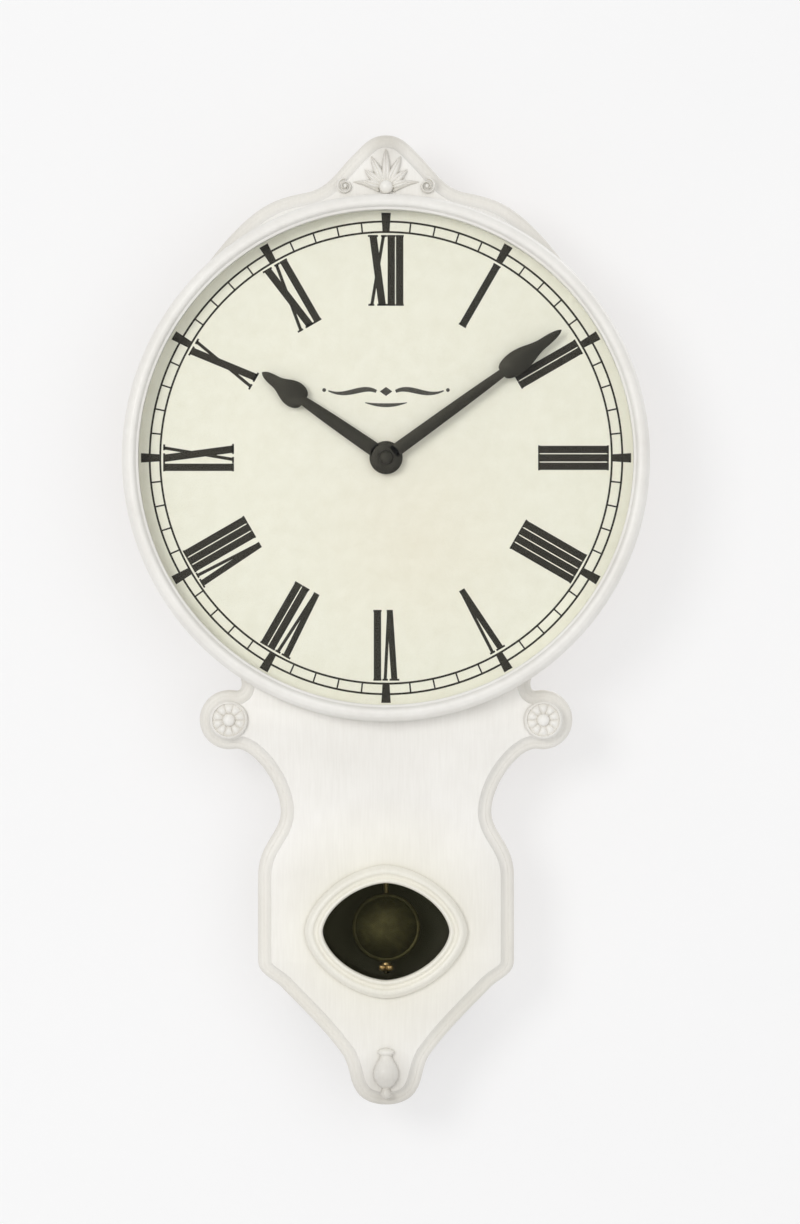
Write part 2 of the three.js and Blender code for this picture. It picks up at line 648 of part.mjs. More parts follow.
// Contact leaf at one end of the bay; the one at the cell's flat end carries a stepped cone for its spring.
function batteryContact(side) {
  const face = side * (BATTERY.half + 0.9);
  const away = face + side * 0.5;
  const leaf = block(Math.min(face, away), Math.max(face, away), 31.5, 43.5, BATTERY.z - 6, BATTERY.z + 6);
  if (side > 0) return leaf;
  return union(leaf, turnedAcross([[0, -0.4], [4.4, -0.4], [4.4, 0], [2.6, 0.65], [0, 0.65]], 12, face));
}

function battery() {
  const { half, r } = BATTERY;
  return turnedAcross([[0, -half], [r, -half], [r, half - 1], [2.6, half - 1], [2.6, half], [0, half]], 24, 0);
}

// ---- Hands ----
// Half widths along a spade hand, at shares of its length.
const SPADE = [
  [0.14, 4.1], [0.5, 3.7], [0.66, 2.7], [0.68, 4.8], [0.71, 7.4], [0.75, 8.5], [0.79, 7.6], [0.84, 4.4],
  [0.89, 3.1], [0.94, 2.4],
];

// A flat hand with a boss round its bore, turned clockwise from twelve.
function hand({ length, scale, boss, bore, near, far, clockwise }) {
  const right = SPADE.map(([share, half]) => new THREE.Vector2(half * scale, share * length));
  right.unshift(new THREE.Vector2(right[0].x, boss / 2));
  const left = right.map((p) => new THREE.Vector2(-p.x, p.y)).reverse();
  const blade = new THREE.Shape([...right, new THREE.Vector2(0, length), ...left]);
  const whole = union(plate(blade, near, far), disc(boss, near, far));
  return cut(whole, disc(bore, near - 1, far + 1, 20)).rotate([0, clockwise, 0]);
}

const HOUR_HAND = {
  length: HOUR_LONG, scale: 1, boss: 9.5, bore: 3.1, near: 66.3, far: 67.1, clockwise: HOUR_ANGLE,
};
const MINUTE_HAND = {
  length: MINUTE_LONG, scale: 0.9, boss: 8.2, bore: 1.6, near: 68.5, far: 69.3, clockwise: MINUTE_ANGLE,
};

const handNut = () =>
  turned(
    [
      [1.55, 69.7], [4.2, 69.7], [4.2, 70.6], [3.4, 71.8], [1.8, 72.5], [0, 72.7], [0, 71.4], [1.55, 71.4],
      [1.55, 69.7],
    ],
    20,
  );

// ---- Pendulum ----
const PIN_R = 1.3;
const ARM_REAR = 24.4;
const ARM_FRONT = 27.4;
const MAGNET_R = 3.5;
const MAGNET_REAR = 26;
const MAGNET_Z = ROD_EYE_Z - 3;

const pivotPin = () =>
  turned([[0, 22.4], [2.8, 22.4], [2.8, 23.6], [PIN_R, 23.6], [PIN_R, 30.2], [0, 30.2]], 16, 0, PIVOT_Z);

function swingArm() {
  const blade = new THREE.Shape();
  blade.moveTo(-4.5, PIVOT_Z);
  blade.lineTo(-3, -30);
  blade.lineTo(-6.5, MAGNET_Z);
  blade.absarc(0, MAGNET_Z, 6.5, Math.PI, 2 * Math.PI);
  blade.lineTo(3, -30);
  blade.lineTo(4.5, PIVOT_Z);
  blade.absarc(0, PIVOT_Z, 4.5, 0, Math.PI);
  const peg = turned(
    [[0, 19.2], [2.2, 19.2], [2.2, 20.2], [1.4, 20.6], [1.4, ARM_REAR + 1], [0, ARM_REAR + 1]],
    14, 0, ROD_EYE_Z,
  );
  const arm = union(plate(blade, ARM_REAR, ARM_FRONT, 8), peg);
  const bore = disc(PIN_R + 0.2, ARM_REAR - 1, ARM_FRONT + 1, 16, 0, PIVOT_Z);
  const magnetSeat = disc(MAGNET_R + GLUE, MAGNET_REAR - GLUE, ARM_FRONT + 1, 16, 0, MAGNET_Z);
  return cut(arm, bore, magnetSeat);
}

const armMagnet = () => disc(MAGNET_R, MAGNET_REAR, ARM_FRONT + 0.5, 16, 0, MAGNET_Z);

function pendulumRod() {
  const eye = tube(1.8, 3.8, ROD_D - 1, ROD_D + 1, 20, 0, ROD_EYE_Z);
  const threadTop = ROD_FOOT_Z + THREAD_LONG;
  const top = ROD_EYE_Z - 2.8;
  const profile = [
    [0, ROD_FOOT_Z], [THREAD_R, ROD_FOOT_Z], [THREAD_R, threadTop], [ROD_R, threadTop], [ROD_R, top], [0, top],
  ];
  return union(eye, turnedUpright(profile, 12, 0, ROD_D));
}

const rodChannel = () => post(ROD_R + GLUE, WINDOW_Z - 40, WINDOW_Z + 40, 0, ROD_D, 12);

function bobShell() {
  const rear = ROD_D + 0.15;
  const profile = [
    [0, rear], [BOB_R, rear], [BOB_R, rear + 1], [BOB_R - 1.2, rear + 1.8], [14.6, rear + 4.2],
    [9, rear + 5.8], [4, rear + 6.5], [0, rear + 6.7],
  ];
  return cut(turned(profile, 32, 0, WINDOW_Z), rodChannel());
}

function bobBack() {
  const front = ROD_D - 0.15;
  const rim = BOB_R - 1.2;
  const profile = [[0, front - 4], [12, front - 4], [rim, front - 1.4], [rim, front], [0, front]];
  return cut(turned(profile, 28, 0, WINDOW_Z), rodChannel());
}

function ratingNut() {
  const top = WINDOW_Z - BOB_R - GLUE;
  const foot = top - 5;
  const bore = THREAD_R + NUT_SLACK;
  const profile = [
    [bore, foot], [3.4, foot], [4.2, foot + 0.7], [4.2, foot + 3.2], [2.8, foot + 4], [2.8, top], [bore, top],
    [bore, foot],
  ];
  return turnedUpright(profile, 20, 0, ROD_D);
}

// ---- Assembly ----
const put = (name, body, material) => add(name, surface(body), material);
const SIDES = { left: -1, right: 1 };

put("front_board", frontBoard(), white);
put("crest_carving", crestShell(), white);
put("pendant_drop", pendantDrop(), white);
put("window_frame", windowFrame(), white);
put("window_glass", windowGlass(), glass);
put("window_retainer", windowRetainer(), card);
for (const [name, side] of Object.entries(SIDES)) {
  put(`ear_rosette_${name}`, rosette(side), white);
  put(`box_side_${name}`, boxSide(side), white);
  put(`box_shoulder_${name}`, shoulder(side), white);
  put(`trunk_side_${name}`, trunkSide(side), white);
  put(`wall_pad_${name}`, wallPad(side), rubber);
}
put("box_top_rail", topRail(), white);
put("trunk_bottom", trunkBottom(), white);
put("trunk_lining", trunkLining(), card);
put("back_board", backBoard(), hardboard);
put("hanger_plate", hangerPlate(), steel);
HANGER_SCREWS.forEach((p, i) => put(`hanger_screw_${i + 1}`, hangerScrew(p), steel));
BACK_SCREWS.forEach((p, i) => put(`back_screw_${i + 1}`, backScrew(p), steel));

put("bezel_ring", bezelRing(), white);
put("dial_glass", dialGlass(), glass);
put("dial_spacer", dialSpacer(), white);
put("dial_plate", dialPlate(), cream);

put("movement_front_shell", frontShell(), plastic);
put("movement_rear_shell", rearShell(), plastic);
put("centre_bush", centreBush(), brass);
put("dial_washer", dialWasher(), brass);
put("hex_nut", hexNut(), brass);
put("circuit_board", circuitBoard(), laminate);
put("quartz_crystal", quartzCrystal(), steel);
put("motor_coil", motorCoil(), copper);
put("motor_stator", stator(), iron);
put("pendulum_coil", pendulumCoil(), copper);
put("battery_contact_plus", batteryContact(1), steel);
put("battery_contact_minus", batteryContact(-1), steel);
put("pendulum_pivot_pin", pivotPin(), steel);

put("centre_wheel", centreWheel(), nylon);
put("third_wheel", thirdWheel(), nylon);
put("motor_rotor", rotor(), iron);
put("motion_wheel", motionWheel(), nylon);
put("hour_wheel", hourWheel(), nylon);
put("setting_knob", settingKnob(), plastic);
put("battery", battery(), plastic);
put("hour_hand", hand(HOUR_HAND), black);
put("minute_hand", hand(MINUTE_HAND), black);
put("hand_nut", handNut(), black);

put("swing_arm", swingArm(), plastic);
put("arm_magnet", armMagnet(), iron);
put("pendulum_rod", pendulumRod(), brass);
put("bob_shell", bobShell(), brass);
put("bob_back", bobBack(), brass);
put("rating_nut", ratingNut(), brass);

export default clock;
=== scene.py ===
"""A white drop-dial pendulum wall clock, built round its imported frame.

Metres, +Z up, front towards -Y, with the wall's plane at y = 0 and the wall screw's seat at the origin.
Shapes are laid out in millimetres about the dial's centre: x to the right, z up, and a depth d that counts
forward from the wall, so that y = -d.
"""
from math import copysign, cos, hypot, pi, radians, sin, sqrt, tau

import bmesh
import bpy
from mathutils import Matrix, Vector
from mathutils.geometry import tessellate_polygon


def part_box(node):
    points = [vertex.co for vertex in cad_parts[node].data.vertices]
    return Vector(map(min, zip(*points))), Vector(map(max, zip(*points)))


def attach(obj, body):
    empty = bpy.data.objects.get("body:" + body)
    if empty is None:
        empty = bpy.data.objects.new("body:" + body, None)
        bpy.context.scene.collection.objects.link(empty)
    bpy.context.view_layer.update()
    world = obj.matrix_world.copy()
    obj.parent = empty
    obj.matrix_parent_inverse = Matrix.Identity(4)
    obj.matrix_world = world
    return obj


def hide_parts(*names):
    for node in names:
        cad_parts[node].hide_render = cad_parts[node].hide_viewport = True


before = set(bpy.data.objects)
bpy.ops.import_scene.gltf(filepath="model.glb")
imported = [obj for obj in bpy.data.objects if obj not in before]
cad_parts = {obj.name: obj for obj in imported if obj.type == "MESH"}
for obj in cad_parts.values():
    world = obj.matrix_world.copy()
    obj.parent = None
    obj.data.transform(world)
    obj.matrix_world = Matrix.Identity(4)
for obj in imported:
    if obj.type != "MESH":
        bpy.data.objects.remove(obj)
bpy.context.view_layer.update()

MM = 0.001


# ---- Places read from the frame ----
def middle(node):
    low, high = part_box(node)
    return (low + high) / 2


def front(node):
    return -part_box(node)[0].y / MM


def rear(node):
    return -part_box(node)[1].y / MM


def mid_depth(node):
    return (rear(node) + front(node)) / 2


def half_width(node):
    low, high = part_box(node)
    return (high.x - low.x) / 2 / MM


def half_height(node):
    low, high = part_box(node)
    return (high.z - low.z) / 2 / MM


DIAL = middle("bezel_ring").z  # height of the dial's centre in metres


def height(node, end=1):
    """A node's highest point, or with end 0 its lowest, above the dial's centre in millimetres."""
    return (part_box(node)[end].z - DIAL) / MM


def place_of(node):
    """A node's middle (x, z) about the dial's centre in millimetres."""
    spot = middle(node)
    return spot.x / MM, (spot.z - DIAL) / MM


BOARD_REAR, BOARD_FRONT = rear("front_board"), front("front_board")
SEAT = rear("bezel_ring")  # depth at which what lies on the board starts
BEZEL_R = half_width("bezel_ring")
SIGHT_R = BEZEL_R - 10  # radius of the dial that shows inside the bezel
DIAL_FACE = front("dial_plate")
WINDOW_Z = place_of("window_frame")[1]


def at(x, d, z):
    return Vector((x * MM, -d * MM, DIAL + z * MM))


# ---- Mesh helpers ----
class Build:
    """Points (x, d, z) and faces gathered from several solids."""

    def __init__(self):
        self.verts = []
        self.faces = []

    def add(self, verts, faces):
        start = len(self.verts)
        self.verts += [tuple(v) for v in verts]
        self.faces += [tuple(i + start for i in face) for face in faces]
        return self

    def join(self, *others):
        for other in others:
            self.add(other.verts, other.faces)

    def rings(self, rings, ends="capped"):
        """A skin over rings of equal length. Its ends are "capped", "open" or "joined" to each other."""
        size = len(rings[0])
        verts = [p for ring in rings for p in ring]
        faces = []
        bands = len(rings) if ends == "joined" else len(rings) - 1
        for i in range(bands):
            a, b = i * size, (i + 1) % len(rings) * size
            faces += [(a + j, a + (j + 1) % size, b + (j + 1) % size, b + j) for j in range(size)]
        if ends == "capped":
            last = (len(rings) - 1) * size
            faces += [tuple(range(size))[::-1], tuple(range(last, last + size))]
        return self.add(verts, faces)


def linked(name, data):
    made = bpy.data.objects.new(name, data)
    bpy.context.scene.collection.objects.link(made)
    return made


def piece(build, name, material, body="case", replaces=(), smooth=35):
    """A mesh that rides on a body in place of CAD nodes. Edges that turn under smooth degrees are soft."""
    mesh = bpy.data.meshes.new(name)
    mesh.from_pydata([at(*v) for v in build.verts], [], build.faces)
    made = bmesh.new()
    made.from_mesh(mesh)
    bmesh.ops.remove_doubles(made, verts=made.verts, dist=1e-6)
    bmesh.ops.recalc_face_normals(made, faces=made.faces)
    for edge in made.edges:
        edge.smooth = len(edge.link_faces) == 2 and edge.calc_face_angle(0) < radians(smooth)
    for face in made.faces:
        face.smooth = True
    made.to_mesh(mesh)
    made.free()
    mesh.materials.append(material)
    shape = linked(name, mesh)
    if replaces:
        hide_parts(*replaces)
    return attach(shape, body)


def fillet(profile, radius, steps=4, closed=False):
    """A polyline with its corners rounded by quadratic arcs that start within radius of each corner."""
    points = [Vector(p) for p in profile]
    out = []
    count = len(points)
    for i, p in enumerate(points):
        if not closed and i in (0, count - 1):
            out.append(p)
            continue
        before, after = points[i - 1], points[(i + 1) % count]
        r = min(radius, (p - before).length * 0.45, (after - p).length * 0.45)
        a = p + (before - p).normalized() * r
        b = p + (after - p).normalized() * r
        for k in range(steps + 1):
            t = k / steps
            out.append(a * (1 - t) ** 2 + p * (2 * t * (1 - t)) + b * t * t)
    return out


AXIS_R = 0.002  # the least radius of a ring, so that one on the axis is still a ring


def circle(x, z, r, segments, way=1):
    """Points round a circle from the first axis towards the second, or with way -1 the other way round."""
    turns = [way * tau * k / segments for k in range(segments)]
    return [(x + r * cos(a), z + r * sin(a)) for a in turns]


def lathe(profile, x=0, z=0, segments=96, closed=False):
    """A [radius, depth] profile turned about the axis from back to front through (x, z)."""
    rings = [[(px, d, pz) for px, pz in circle(x, z, max(r, AXIS_R), segments)] for r, d in profile]
    return Build().rings(rings, "joined" if closed else "capped")


def inset(outline, distance):
    """A closed outline moved inwards by distance along its corners' bisectors. The outline runs clockwise."""
    count = len(outline)
    out = []
    for i, p in enumerate(outline):
        before = (p - outline[i - 1]).normalized()
        after = (outline[(i + 1) % count] - p).normalized()
        n1 = Vector((before.y, -before.x))
        n2 = Vector((after.y, -after.x))
        n = (n1 + n2).normalized()
        out.append(p + n * distance / max(0.5, n.dot(n1)))
    return out


def slab(outline, steps, holes=()):
    """A plate with plain holes, whose edge follows steps of [inset, depth] from rear face to front face."""
    build = Build()
    rings = [[(p.x, d, p.y) for p in inset(outline, s)] for s, d in steps]
    build.rings(rings, "open")
    rear_depth, front_depth = steps[0][1], steps[-1][1]
    for hole in holes:
        ring = [[(p.x, d, p.y) for p in hole] for d in (rear_depth, front_depth)]
        build.rings(ring, "open")
    for depth, base in ((rear_depth, rings[0]), (front_depth, rings[-1])):
        loops = [[Vector((v[0], v[2], 0)) for v in base]]
        loops += [[Vector((p.x, p.y, 0)) for p in hole] for hole in holes]
        flat = [(v.x, depth, v.y) for loop in loops for v in loop]
        build.add(flat, tessellate_polygon(loops))
    return build


def raised(shapes, near, far):
    """Flat closed outlines of (x, z) points as low relief from depth near to far."""
    build = Build()
    for k, shape in enumerate(shapes):
        top = far + 0.005 * (k % 3)  # keeps shapes that cross from sharing a face
        build.rings([[(p[0], near, p[1]) for p in shape], [(p[0], top, p[1]) for p in shape]])
    return build


def bend(p0, p1, p2, p3, steps):
    """Points of a cubic Bezier curve."""
    out = []
    for k in range(steps + 1):
        t = k / steps
        s = 1 - t
        out.append(Vector([
            s**3 * a + 3 * s * s * t * b + 3 * s * t * t * c + t**3 * e for a, b, c, e in zip(p0, p1, p2, p3)
        ]))
    return out


def path(start, *runs):
    """Bezier curves end to end. Each run is (handle, handle, end, steps)."""
    points = []
    for leaving, arriving, end, steps in runs:
        points += bend(start, leaving, arriving, end, steps)
        start = end
    return points


def thinned(points, gap):
    """The points without those that lie within gap of the one before."""
    out = points[:1]
    for p in points:
        if (p - out[-1]).length > gap:
            out.append(p)
    return out


def arc(cx, cz, r, start, stop, steps):
    """Points on a circle, in degrees from the +x axis towards +z."""
    turn = [radians(start + (stop - start) * k / steps) for k in range(steps + 1)]
    return [Vector((cx + r * cos(a), cz + r * sin(a))) for a in turn]


OVAL_POWER = 1.7  # 2 would be an ellipse, less draws its ends to a point


def oval(a, b, segments=96):
    """The window's lemon-like outline, clockwise about its centre."""
    def drawn_in(share):
        return copysign(abs(share) ** (2 / OVAL_POWER), share)

    points = circle(0, 0, 1, segments, -1)
    return [Vector((a * drawn_in(x), WINDOW_Z + b * drawn_in(z))) for x, z in points]


def round_outline(r, segments=192):
    """A clockwise circle about the dial's centre."""
    return [Vector(p) for p in circle(0, 0, r, segments, -1)]


# ---- Materials ----
MIX_INPUTS, MIX_RESULT = (0, 6, 7), 2  # a Mix node's factor, two colours and result


class Surface:
    """A Principled material whose colour, roughness and relief come from noise in the clock's own frame."""

    def __init__(self, name, metallic=0.0, **sockets):
        self.material = bpy.data.materials.new(name)
        self.material.use_nodes = True
        self.nodes = self.material.node_tree.nodes
        self.links = self.material.node_tree.links
        self.shader = self.nodes["Principled BSDF"]
        self.shader.inputs["Metallic"].default_value = metallic
        for socket, value in sockets.items():
            self.shader.inputs[socket.replace("_", " ")].default_value = value
        self.place = self.nodes.new("ShaderNodeTexCoord").outputs["Object"]
        self.relief = None

    def node(self, kind, **sockets):
        made = self.nodes.new("ShaderNode" + kind)
        for socket, value in sockets.items():
            made.inputs[socket.replace("_", " ")].default_value = value
        return made

    def texture(self, kind, stretch, size_mm, **sockets):
        """A texture with features about size_mm across, finer along an axis where stretch is larger."""
        spread = self.node("Mapping", Scale=stretch)
        self.links.new(self.place, spread.inputs["Vector"])
        made = self.node(kind, Scale=1 / (size_mm * MM), **sockets)
        self.links.new(spread.outputs["Vector"], made.inputs["Vector"])
        return made

    def noise(self, size_mm, detail=3, stretch=(1, 1, 1), sharp=0.5):
        return self.texture("TexNoise", stretch, size_mm, Detail=detail, Roughness=sharp).outputs["Fac"]

    def specks(self, size_mm, stretch=(1, 1, 1)):
        return self.texture("TexVoronoi", stretch, size_mm).outputs["Distance"]

    def calc(self, operation, a, b=0.0):
        node = self.node("Math")
        node.operation = operation
        for socket, value in zip(node.inputs, (a, b)):
            if isinstance(value, (int, float)):
                socket.default_value = value
            else:
                self.links.new(value, socket)
        return node.outputs["Value"]

    def weighed(self, a, share_a, b, share_b):
        return self.calc("ADD", self.calc("MULTIPLY", a, share_a), self.calc("MULTIPLY", b, share_b))

    def waves(self, source, length_mm):
        """A sine along a measure in metres."""
        return self.calc("SINE", self.calc("MULTIPLY", source, tau / (length_mm * MM)))

    def axis(self, name):
        node = self.node("SeparateXYZ")
        self.links.new(self.place, node.inputs["Vector"])
        return node.outputs[name]

    def from_centre(self, x_mm, z_mm):
        """Distance in metres, in the plane of the dial, from a point given about the dial's centre."""
        dx = self.calc("SUBTRACT", self.axis("X"), x_mm * MM)
        dz = self.calc("SUBTRACT", self.axis("Z"), DIAL + z_mm * MM)
        total = self.calc("ADD", self.calc("MULTIPLY", dx, dx), self.calc("MULTIPLY", dz, dz))
        return self.calc("SQRT", total)

    def ramp(self, fac, *stops):
        node = self.node("ValToRGB")
        band = node.color_ramp
        while len(band.elements) < len(stops):
            band.elements.new(0.5)
        for element, (place, colour) in zip(band.elements, stops):
            element.position = place
            element.color = (*colour, 1)
        self.links.new(fac, node.inputs["Fac"])
        return node.outputs["Color"]

    def mix(self, fac, a, b, blend="MIX"):
        node = self.node("Mix")
        node.data_type = "RGBA"
        node.blend_type = blend
        for index, value in zip(MIX_INPUTS, (fac, a, b)):
            socket = node.inputs[index]
            if isinstance(value, bpy.types.NodeSocket):
                self.links.new(value, socket)
            else:
                socket.default_value = (*value, 1) if isinstance(value, tuple) else value
        return node.outputs[MIX_RESULT]

    def tinted(self, paint, tint, share=1.0):
        return self.mix(share, paint, tint, "MULTIPLY")

    def colour(self, source):
        self.links.new(source, self.shader.inputs["Base Color"])

    def mottled(self, size_mm, detail, dark, light, end=0.7):
        """Colour that drifts between dark and light in clouds about size_mm across."""
        self.colour(self.ramp(self.noise(size_mm, detail), (0.3, dark), (end, light)))

    def rough(self, fac, low, high):
        node = self.node("MapRange", To_Min=low, To_Max=high)
        self.links.new(fac, node.inputs["Value"])
        self.links.new(node.outputs["Result"], self.shader.inputs["Roughness"])

    def bump(self, fac, depth_mm, strength=1.0):
        """Adds relief depth_mm deep to what came before."""
        node = self.node("Bump", Distance=depth_mm * MM, Strength=strength)
        self.links.new(fac, node.inputs["Height"])
        if self.relief is not None:
            self.links.new(self.relief, node.inputs["Normal"])
        self.relief = node.outputs["Normal"]
        self.links.new(self.relief, self.shader.inputs["Normal"])


WHITE_LOW = (0.82, 0.80, 0.755)
WHITE_HIGH = (0.91, 0.895, 0.855)
RING_LOW = (0.81, 0.79, 0.745)
RING_HIGH = (0.895, 0.88, 0.84)
BLACK_STAIN = (0.025, 0.024, 0.014)
UNTINTED = (1, 1, 1)


def lacquer(
    name, grain=(14, 14, 1), low=WHITE_LOW, high=WHITE_HIGH, hollows=None, toned=(), black_within=None,
):
    """Warm white satin lacquer, brushed along one axis.

    hollows is (floor, crown, tone): painted shade darkens it towards depth floor, where shade falls in
    recesses and on routed edges. toned lists places (z, radius, tint) on the centre line where its colour is
    tinted, by painted shade at some and by a real tone at others. Nearer that line than black_within it is
    stained black.
    """
    s = Surface(name, Coat_Weight=0.15, Coat_Roughness=0.25)
    strokes = s.noise(16, 4, grain)
    paint = s.ramp(s.weighed(s.noise(38, 3), 0.6, strokes, 0.4), (0.3, low), (0.7, high))
    if hollows:
        floor, crown, shade_tone = hollows
        # Painted shade: darker towards depth floor, as in recesses and down routed edges
        depth = s.calc("MULTIPLY", s.axis("Y"), -1 / MM)
        share = s.calc("DIVIDE", s.calc("SUBTRACT", depth, floor), crown - floor)
        painted_shade = (shade_tone, shade_tone * 0.985, shade_tone * 0.95)
        paint = s.tinted(paint, s.ramp(share, (0.0, painted_shade), (1.0, UNTINTED)))
    # Painted shade where a tint is grey, a real tone where it is warm
    for z, radius, tint in toned:
        share = s.calc("DIVIDE", s.from_centre(0, z), radius * MM)
        paint = s.tinted(paint, s.ramp(share, (0.3, tint), (1.0, UNTINTED)))
    if black_within:
        inside = s.calc("LESS_THAN", s.calc("ABSOLUTE", s.axis("X")), black_within * MM)
        paint = s.mix(inside, paint, BLACK_STAIN)
    s.colour(paint)
    s.rough(strokes, 0.34, 0.52)
    s.bump(strokes, 0.05, 0.5)
    s.bump(s.noise(1.1, 2), 0.012, 0.6)
    return s.material


def dial_paint():
    """Printed cream dial: fine mottling, a warmer patch low on the right and painted shade that darkens its
    rim a little.
    """
    s = Surface("dial_cream", Coat_Weight=0.1, Coat_Roughness=0.3)
    radius = s.calc("DIVIDE", s.from_centre(0, 0), SIGHT_R * MM)
    # The rim's tone is painted shade: the dial darkens a little towards the bezel
    middle_tone, field_tone, rim_painted_shade = (0.945, 0.92, 0.80), (0.945, 0.925, 0.80), (0.92, 0.905, 0.785)
    paint = s.ramp(radius, (0.0, middle_tone), (0.62, field_tone), (1.0, rim_painted_shade))
    patch = s.calc("DIVIDE", s.from_centre(18, -48), 70 * MM)
    paint = s.tinted(paint, s.ramp(patch, (0.0, (0.94, 0.83, 0.74)), (1.0, UNTINTED)), 0.22)
    mottle = s.ramp(s.noise(9, 5, sharp=0.62), (0.3, (0.955, 0.95, 0.93)), (0.7, UNTINTED))
    fibres = s.ramp(s.noise(0.8, 2), (0.3, (0.97, 0.965, 0.95)), (0.7, UNTINTED))
    s.colour(s.tinted(s.tinted(paint, mottle), fibres))
    s.rough(s.noise(3, 3), 0.42, 0.58)
    s.bump(s.noise(0.7, 2), 0.008, 0.5)
    return s.material


WARM_SHEEN = (1.0, 0.92, 0.72, 1)  # gives black ink and enamel a brownish gloss


def ink(name="dial_ink", light=0.008):
    """Matt black printing ink with a little unevenness."""
    s = Surface(name, Specular_Tint=WARM_SHEEN)
    s.mottled(2.2, 4, (light * 0.7,) * 3, (light * 1.7, light * 1.6, light * 1.35), 0.75)
    s.rough(s.noise(1.2, 2), 0.5, 0.7)
    s.bump(s.noise(0.6, 2), 0.008, 0.3)
    return s.material


def black_enamel():
    s = Surface("black_enamel", Coat_Weight=0.1, Coat_Roughness=0.3, Specular_Tint=WARM_SHEEN)
    s.mottled(4, 3, (0.005, 0.005, 0.004), (0.013, 0.012, 0.009), 0.75)
    s.rough(s.noise(2.5, 3), 0.34, 0.5)
    s.bump(s.noise(0.9, 2), 0.01, 0.5)
    return s.material


def metal(name, dark, light, low, high, brushed=(1, 1, 1), size=6.0):
    s = Surface(name, metallic=1.0)
    lines = s.noise(1.6, 3, brushed)
    fac = s.weighed(s.noise(size, 4), 0.65, lines, 0.35)
    s.colour(s.ramp(fac, (0.32, dark), (0.68, light)))
    s.rough(fac, low, high)
    s.bump(lines, 0.01, 0.5)
    return s.material


def aged_brass_with_painted_shade():
    """Brass gone dull in a closed case: brown tarnish in clouds, brighter where it was last wiped. All of it
    is painted far darker than brass, as painted shade for the unlit trunk.
    """
    s = Surface("aged_brass_with_painted_shade", metallic=1.0)
    clouds = s.noise(11, 5, sharp=0.6)
    fac = s.weighed(clouds, 0.8, s.specks(2.6), 0.25)
    # Painted shade as well as tarnish: all three tones are far darker than brass
    tarnish, dull, wiped = (0.024, 0.021, 0.008), (0.052, 0.046, 0.018), (0.092, 0.079, 0.032)
    s.colour(s.ramp(fac, (0.3, tarnish), (0.55, dull), (0.8, wiped)))
    s.rough(fac, 0.6, 0.42)
    s.bump(s.waves(s.from_centre(0, WINDOW_Z), 0.45), 0.004, 0.4)
    s.bump(clouds, 0.02, 0.4)
    return s.material


def plastic(name, dark, light, low=0.42, high=0.6, grain=0.45):
    """Moulded plastic with a fine spark-eroded texture."""
    s = Surface(name)
    s.mottled(14, 4, dark, light)
    s.rough(s.noise(1.5, 3), low, high)
    s.bump(s.specks(grain), 0.012, 0.6)
    return s.material


def hardboard():
    """Brown hardboard: pressed fibres, with a screen pattern in its rough face."""
    s = Surface("hardboard_back")
    fibres = s.noise(2.4, 6, (1, 1, 3), 0.7)
    fac = s.weighed(fibres, 0.65, s.noise(30, 3), 0.35)
    dark, plain, light = (0.16, 0.085, 0.04), (0.27, 0.155, 0.08), (0.40, 0.25, 0.14)
    s.colour(s.ramp(fac, (0.33, dark), (0.5, plain), (0.68, light)))
    s.rough(fibres, 0.7, 0.9)
    s.bump(s.calc("MULTIPLY", s.waves(s.axis("X"), 1.7), s.waves(s.axis("Z"), 1.7)), 0.08, 0.5)
    s.bump(fibres, 0.1, 0.5)
    return s.material


def raw_board():
    """Unpainted fibreboard, as on a cabinet's hidden faces."""
    s = Surface("raw_fibreboard")
    fibres = s.noise(1.6, 6, sharp=0.7)
    fac = s.weighed(fibres, 0.5, s.noise(25, 3), 0.5)
    s.colour(s.ramp(fac, (0.33, (0.33, 0.23, 0.14)), (0.66, (0.50, 0.37, 0.25))))
    s.rough(fibres, 0.75, 0.92)
    s.bump(fibres, 0.06, 0.6)
    return s.material


def black_card():
    s = Surface("black_card")
    s.mottled(1.2, 4, (0.018, 0.0175, 0.010), (0.038, 0.036, 0.021))
    s.rough(s.noise(2, 3), 0.8, 0.95)
    s.bump(s.noise(0.5, 3), 0.03, 0.6)
    return s.material


def rubber():
    s = Surface("rubber")
    s.mottled(3, 4, (0.02, 0.02, 0.019), (0.045, 0.044, 0.042))
    s.rough(s.noise(1, 2), 0.75, 0.9)
    s.bump(s.specks(0.7), 0.03, 0.6)
    return s.material


def windings(name, pitch_mm, axis="Z"):
    """Enamelled copper wire, wound at right angles to an axis."""
    s = Surface(name, metallic=1.0, Coat_Weight=0.6, Coat_Roughness=0.15)
    s.mottled(2, 4, (0.40, 0.11, 0.04), (0.72, 0.26, 0.12))
    s.rough(s.noise(1, 2), 0.25, 0.4)
    s.bump(s.waves(s.axis(axis), pitch_mm), 0.06)
    return s.material


def laminate():
    """Green circuit board with faint tracks under the solder mask."""
    s = Surface("laminate", Coat_Weight=0.4, Coat_Roughness=0.2)
    tracks = s.specks(3.2, (1, 1, 2))
    gap, track, field = (0.015, 0.10, 0.03), (0.03, 0.17, 0.055), (0.02, 0.12, 0.035)
    s.colour(s.ramp(tracks, (0.28, gap), (0.36, track), (0.7, field)))
    s.rough(s.noise(2, 3), 0.3, 0.45)
    s.bump(tracks, 0.03, 0.5)
    return s.material


def clear_glass(name, ior, sheen=(1, 1, 1, 1)):
    """Float glass with a trace of green and a faint unevenness. A lower index stands for a bloomed pane."""
    s = Surface(name, Transmission_Weight=1.0, IOR=ior, Roughness=0.0, Specular_Tint=sheen)
    s.shader.inputs["Base Color"].default_value = (0.985, 0.995, 0.99, 1)
    s.bump(s.noise(60, 1), 0.01, 0.2)
    return s.material
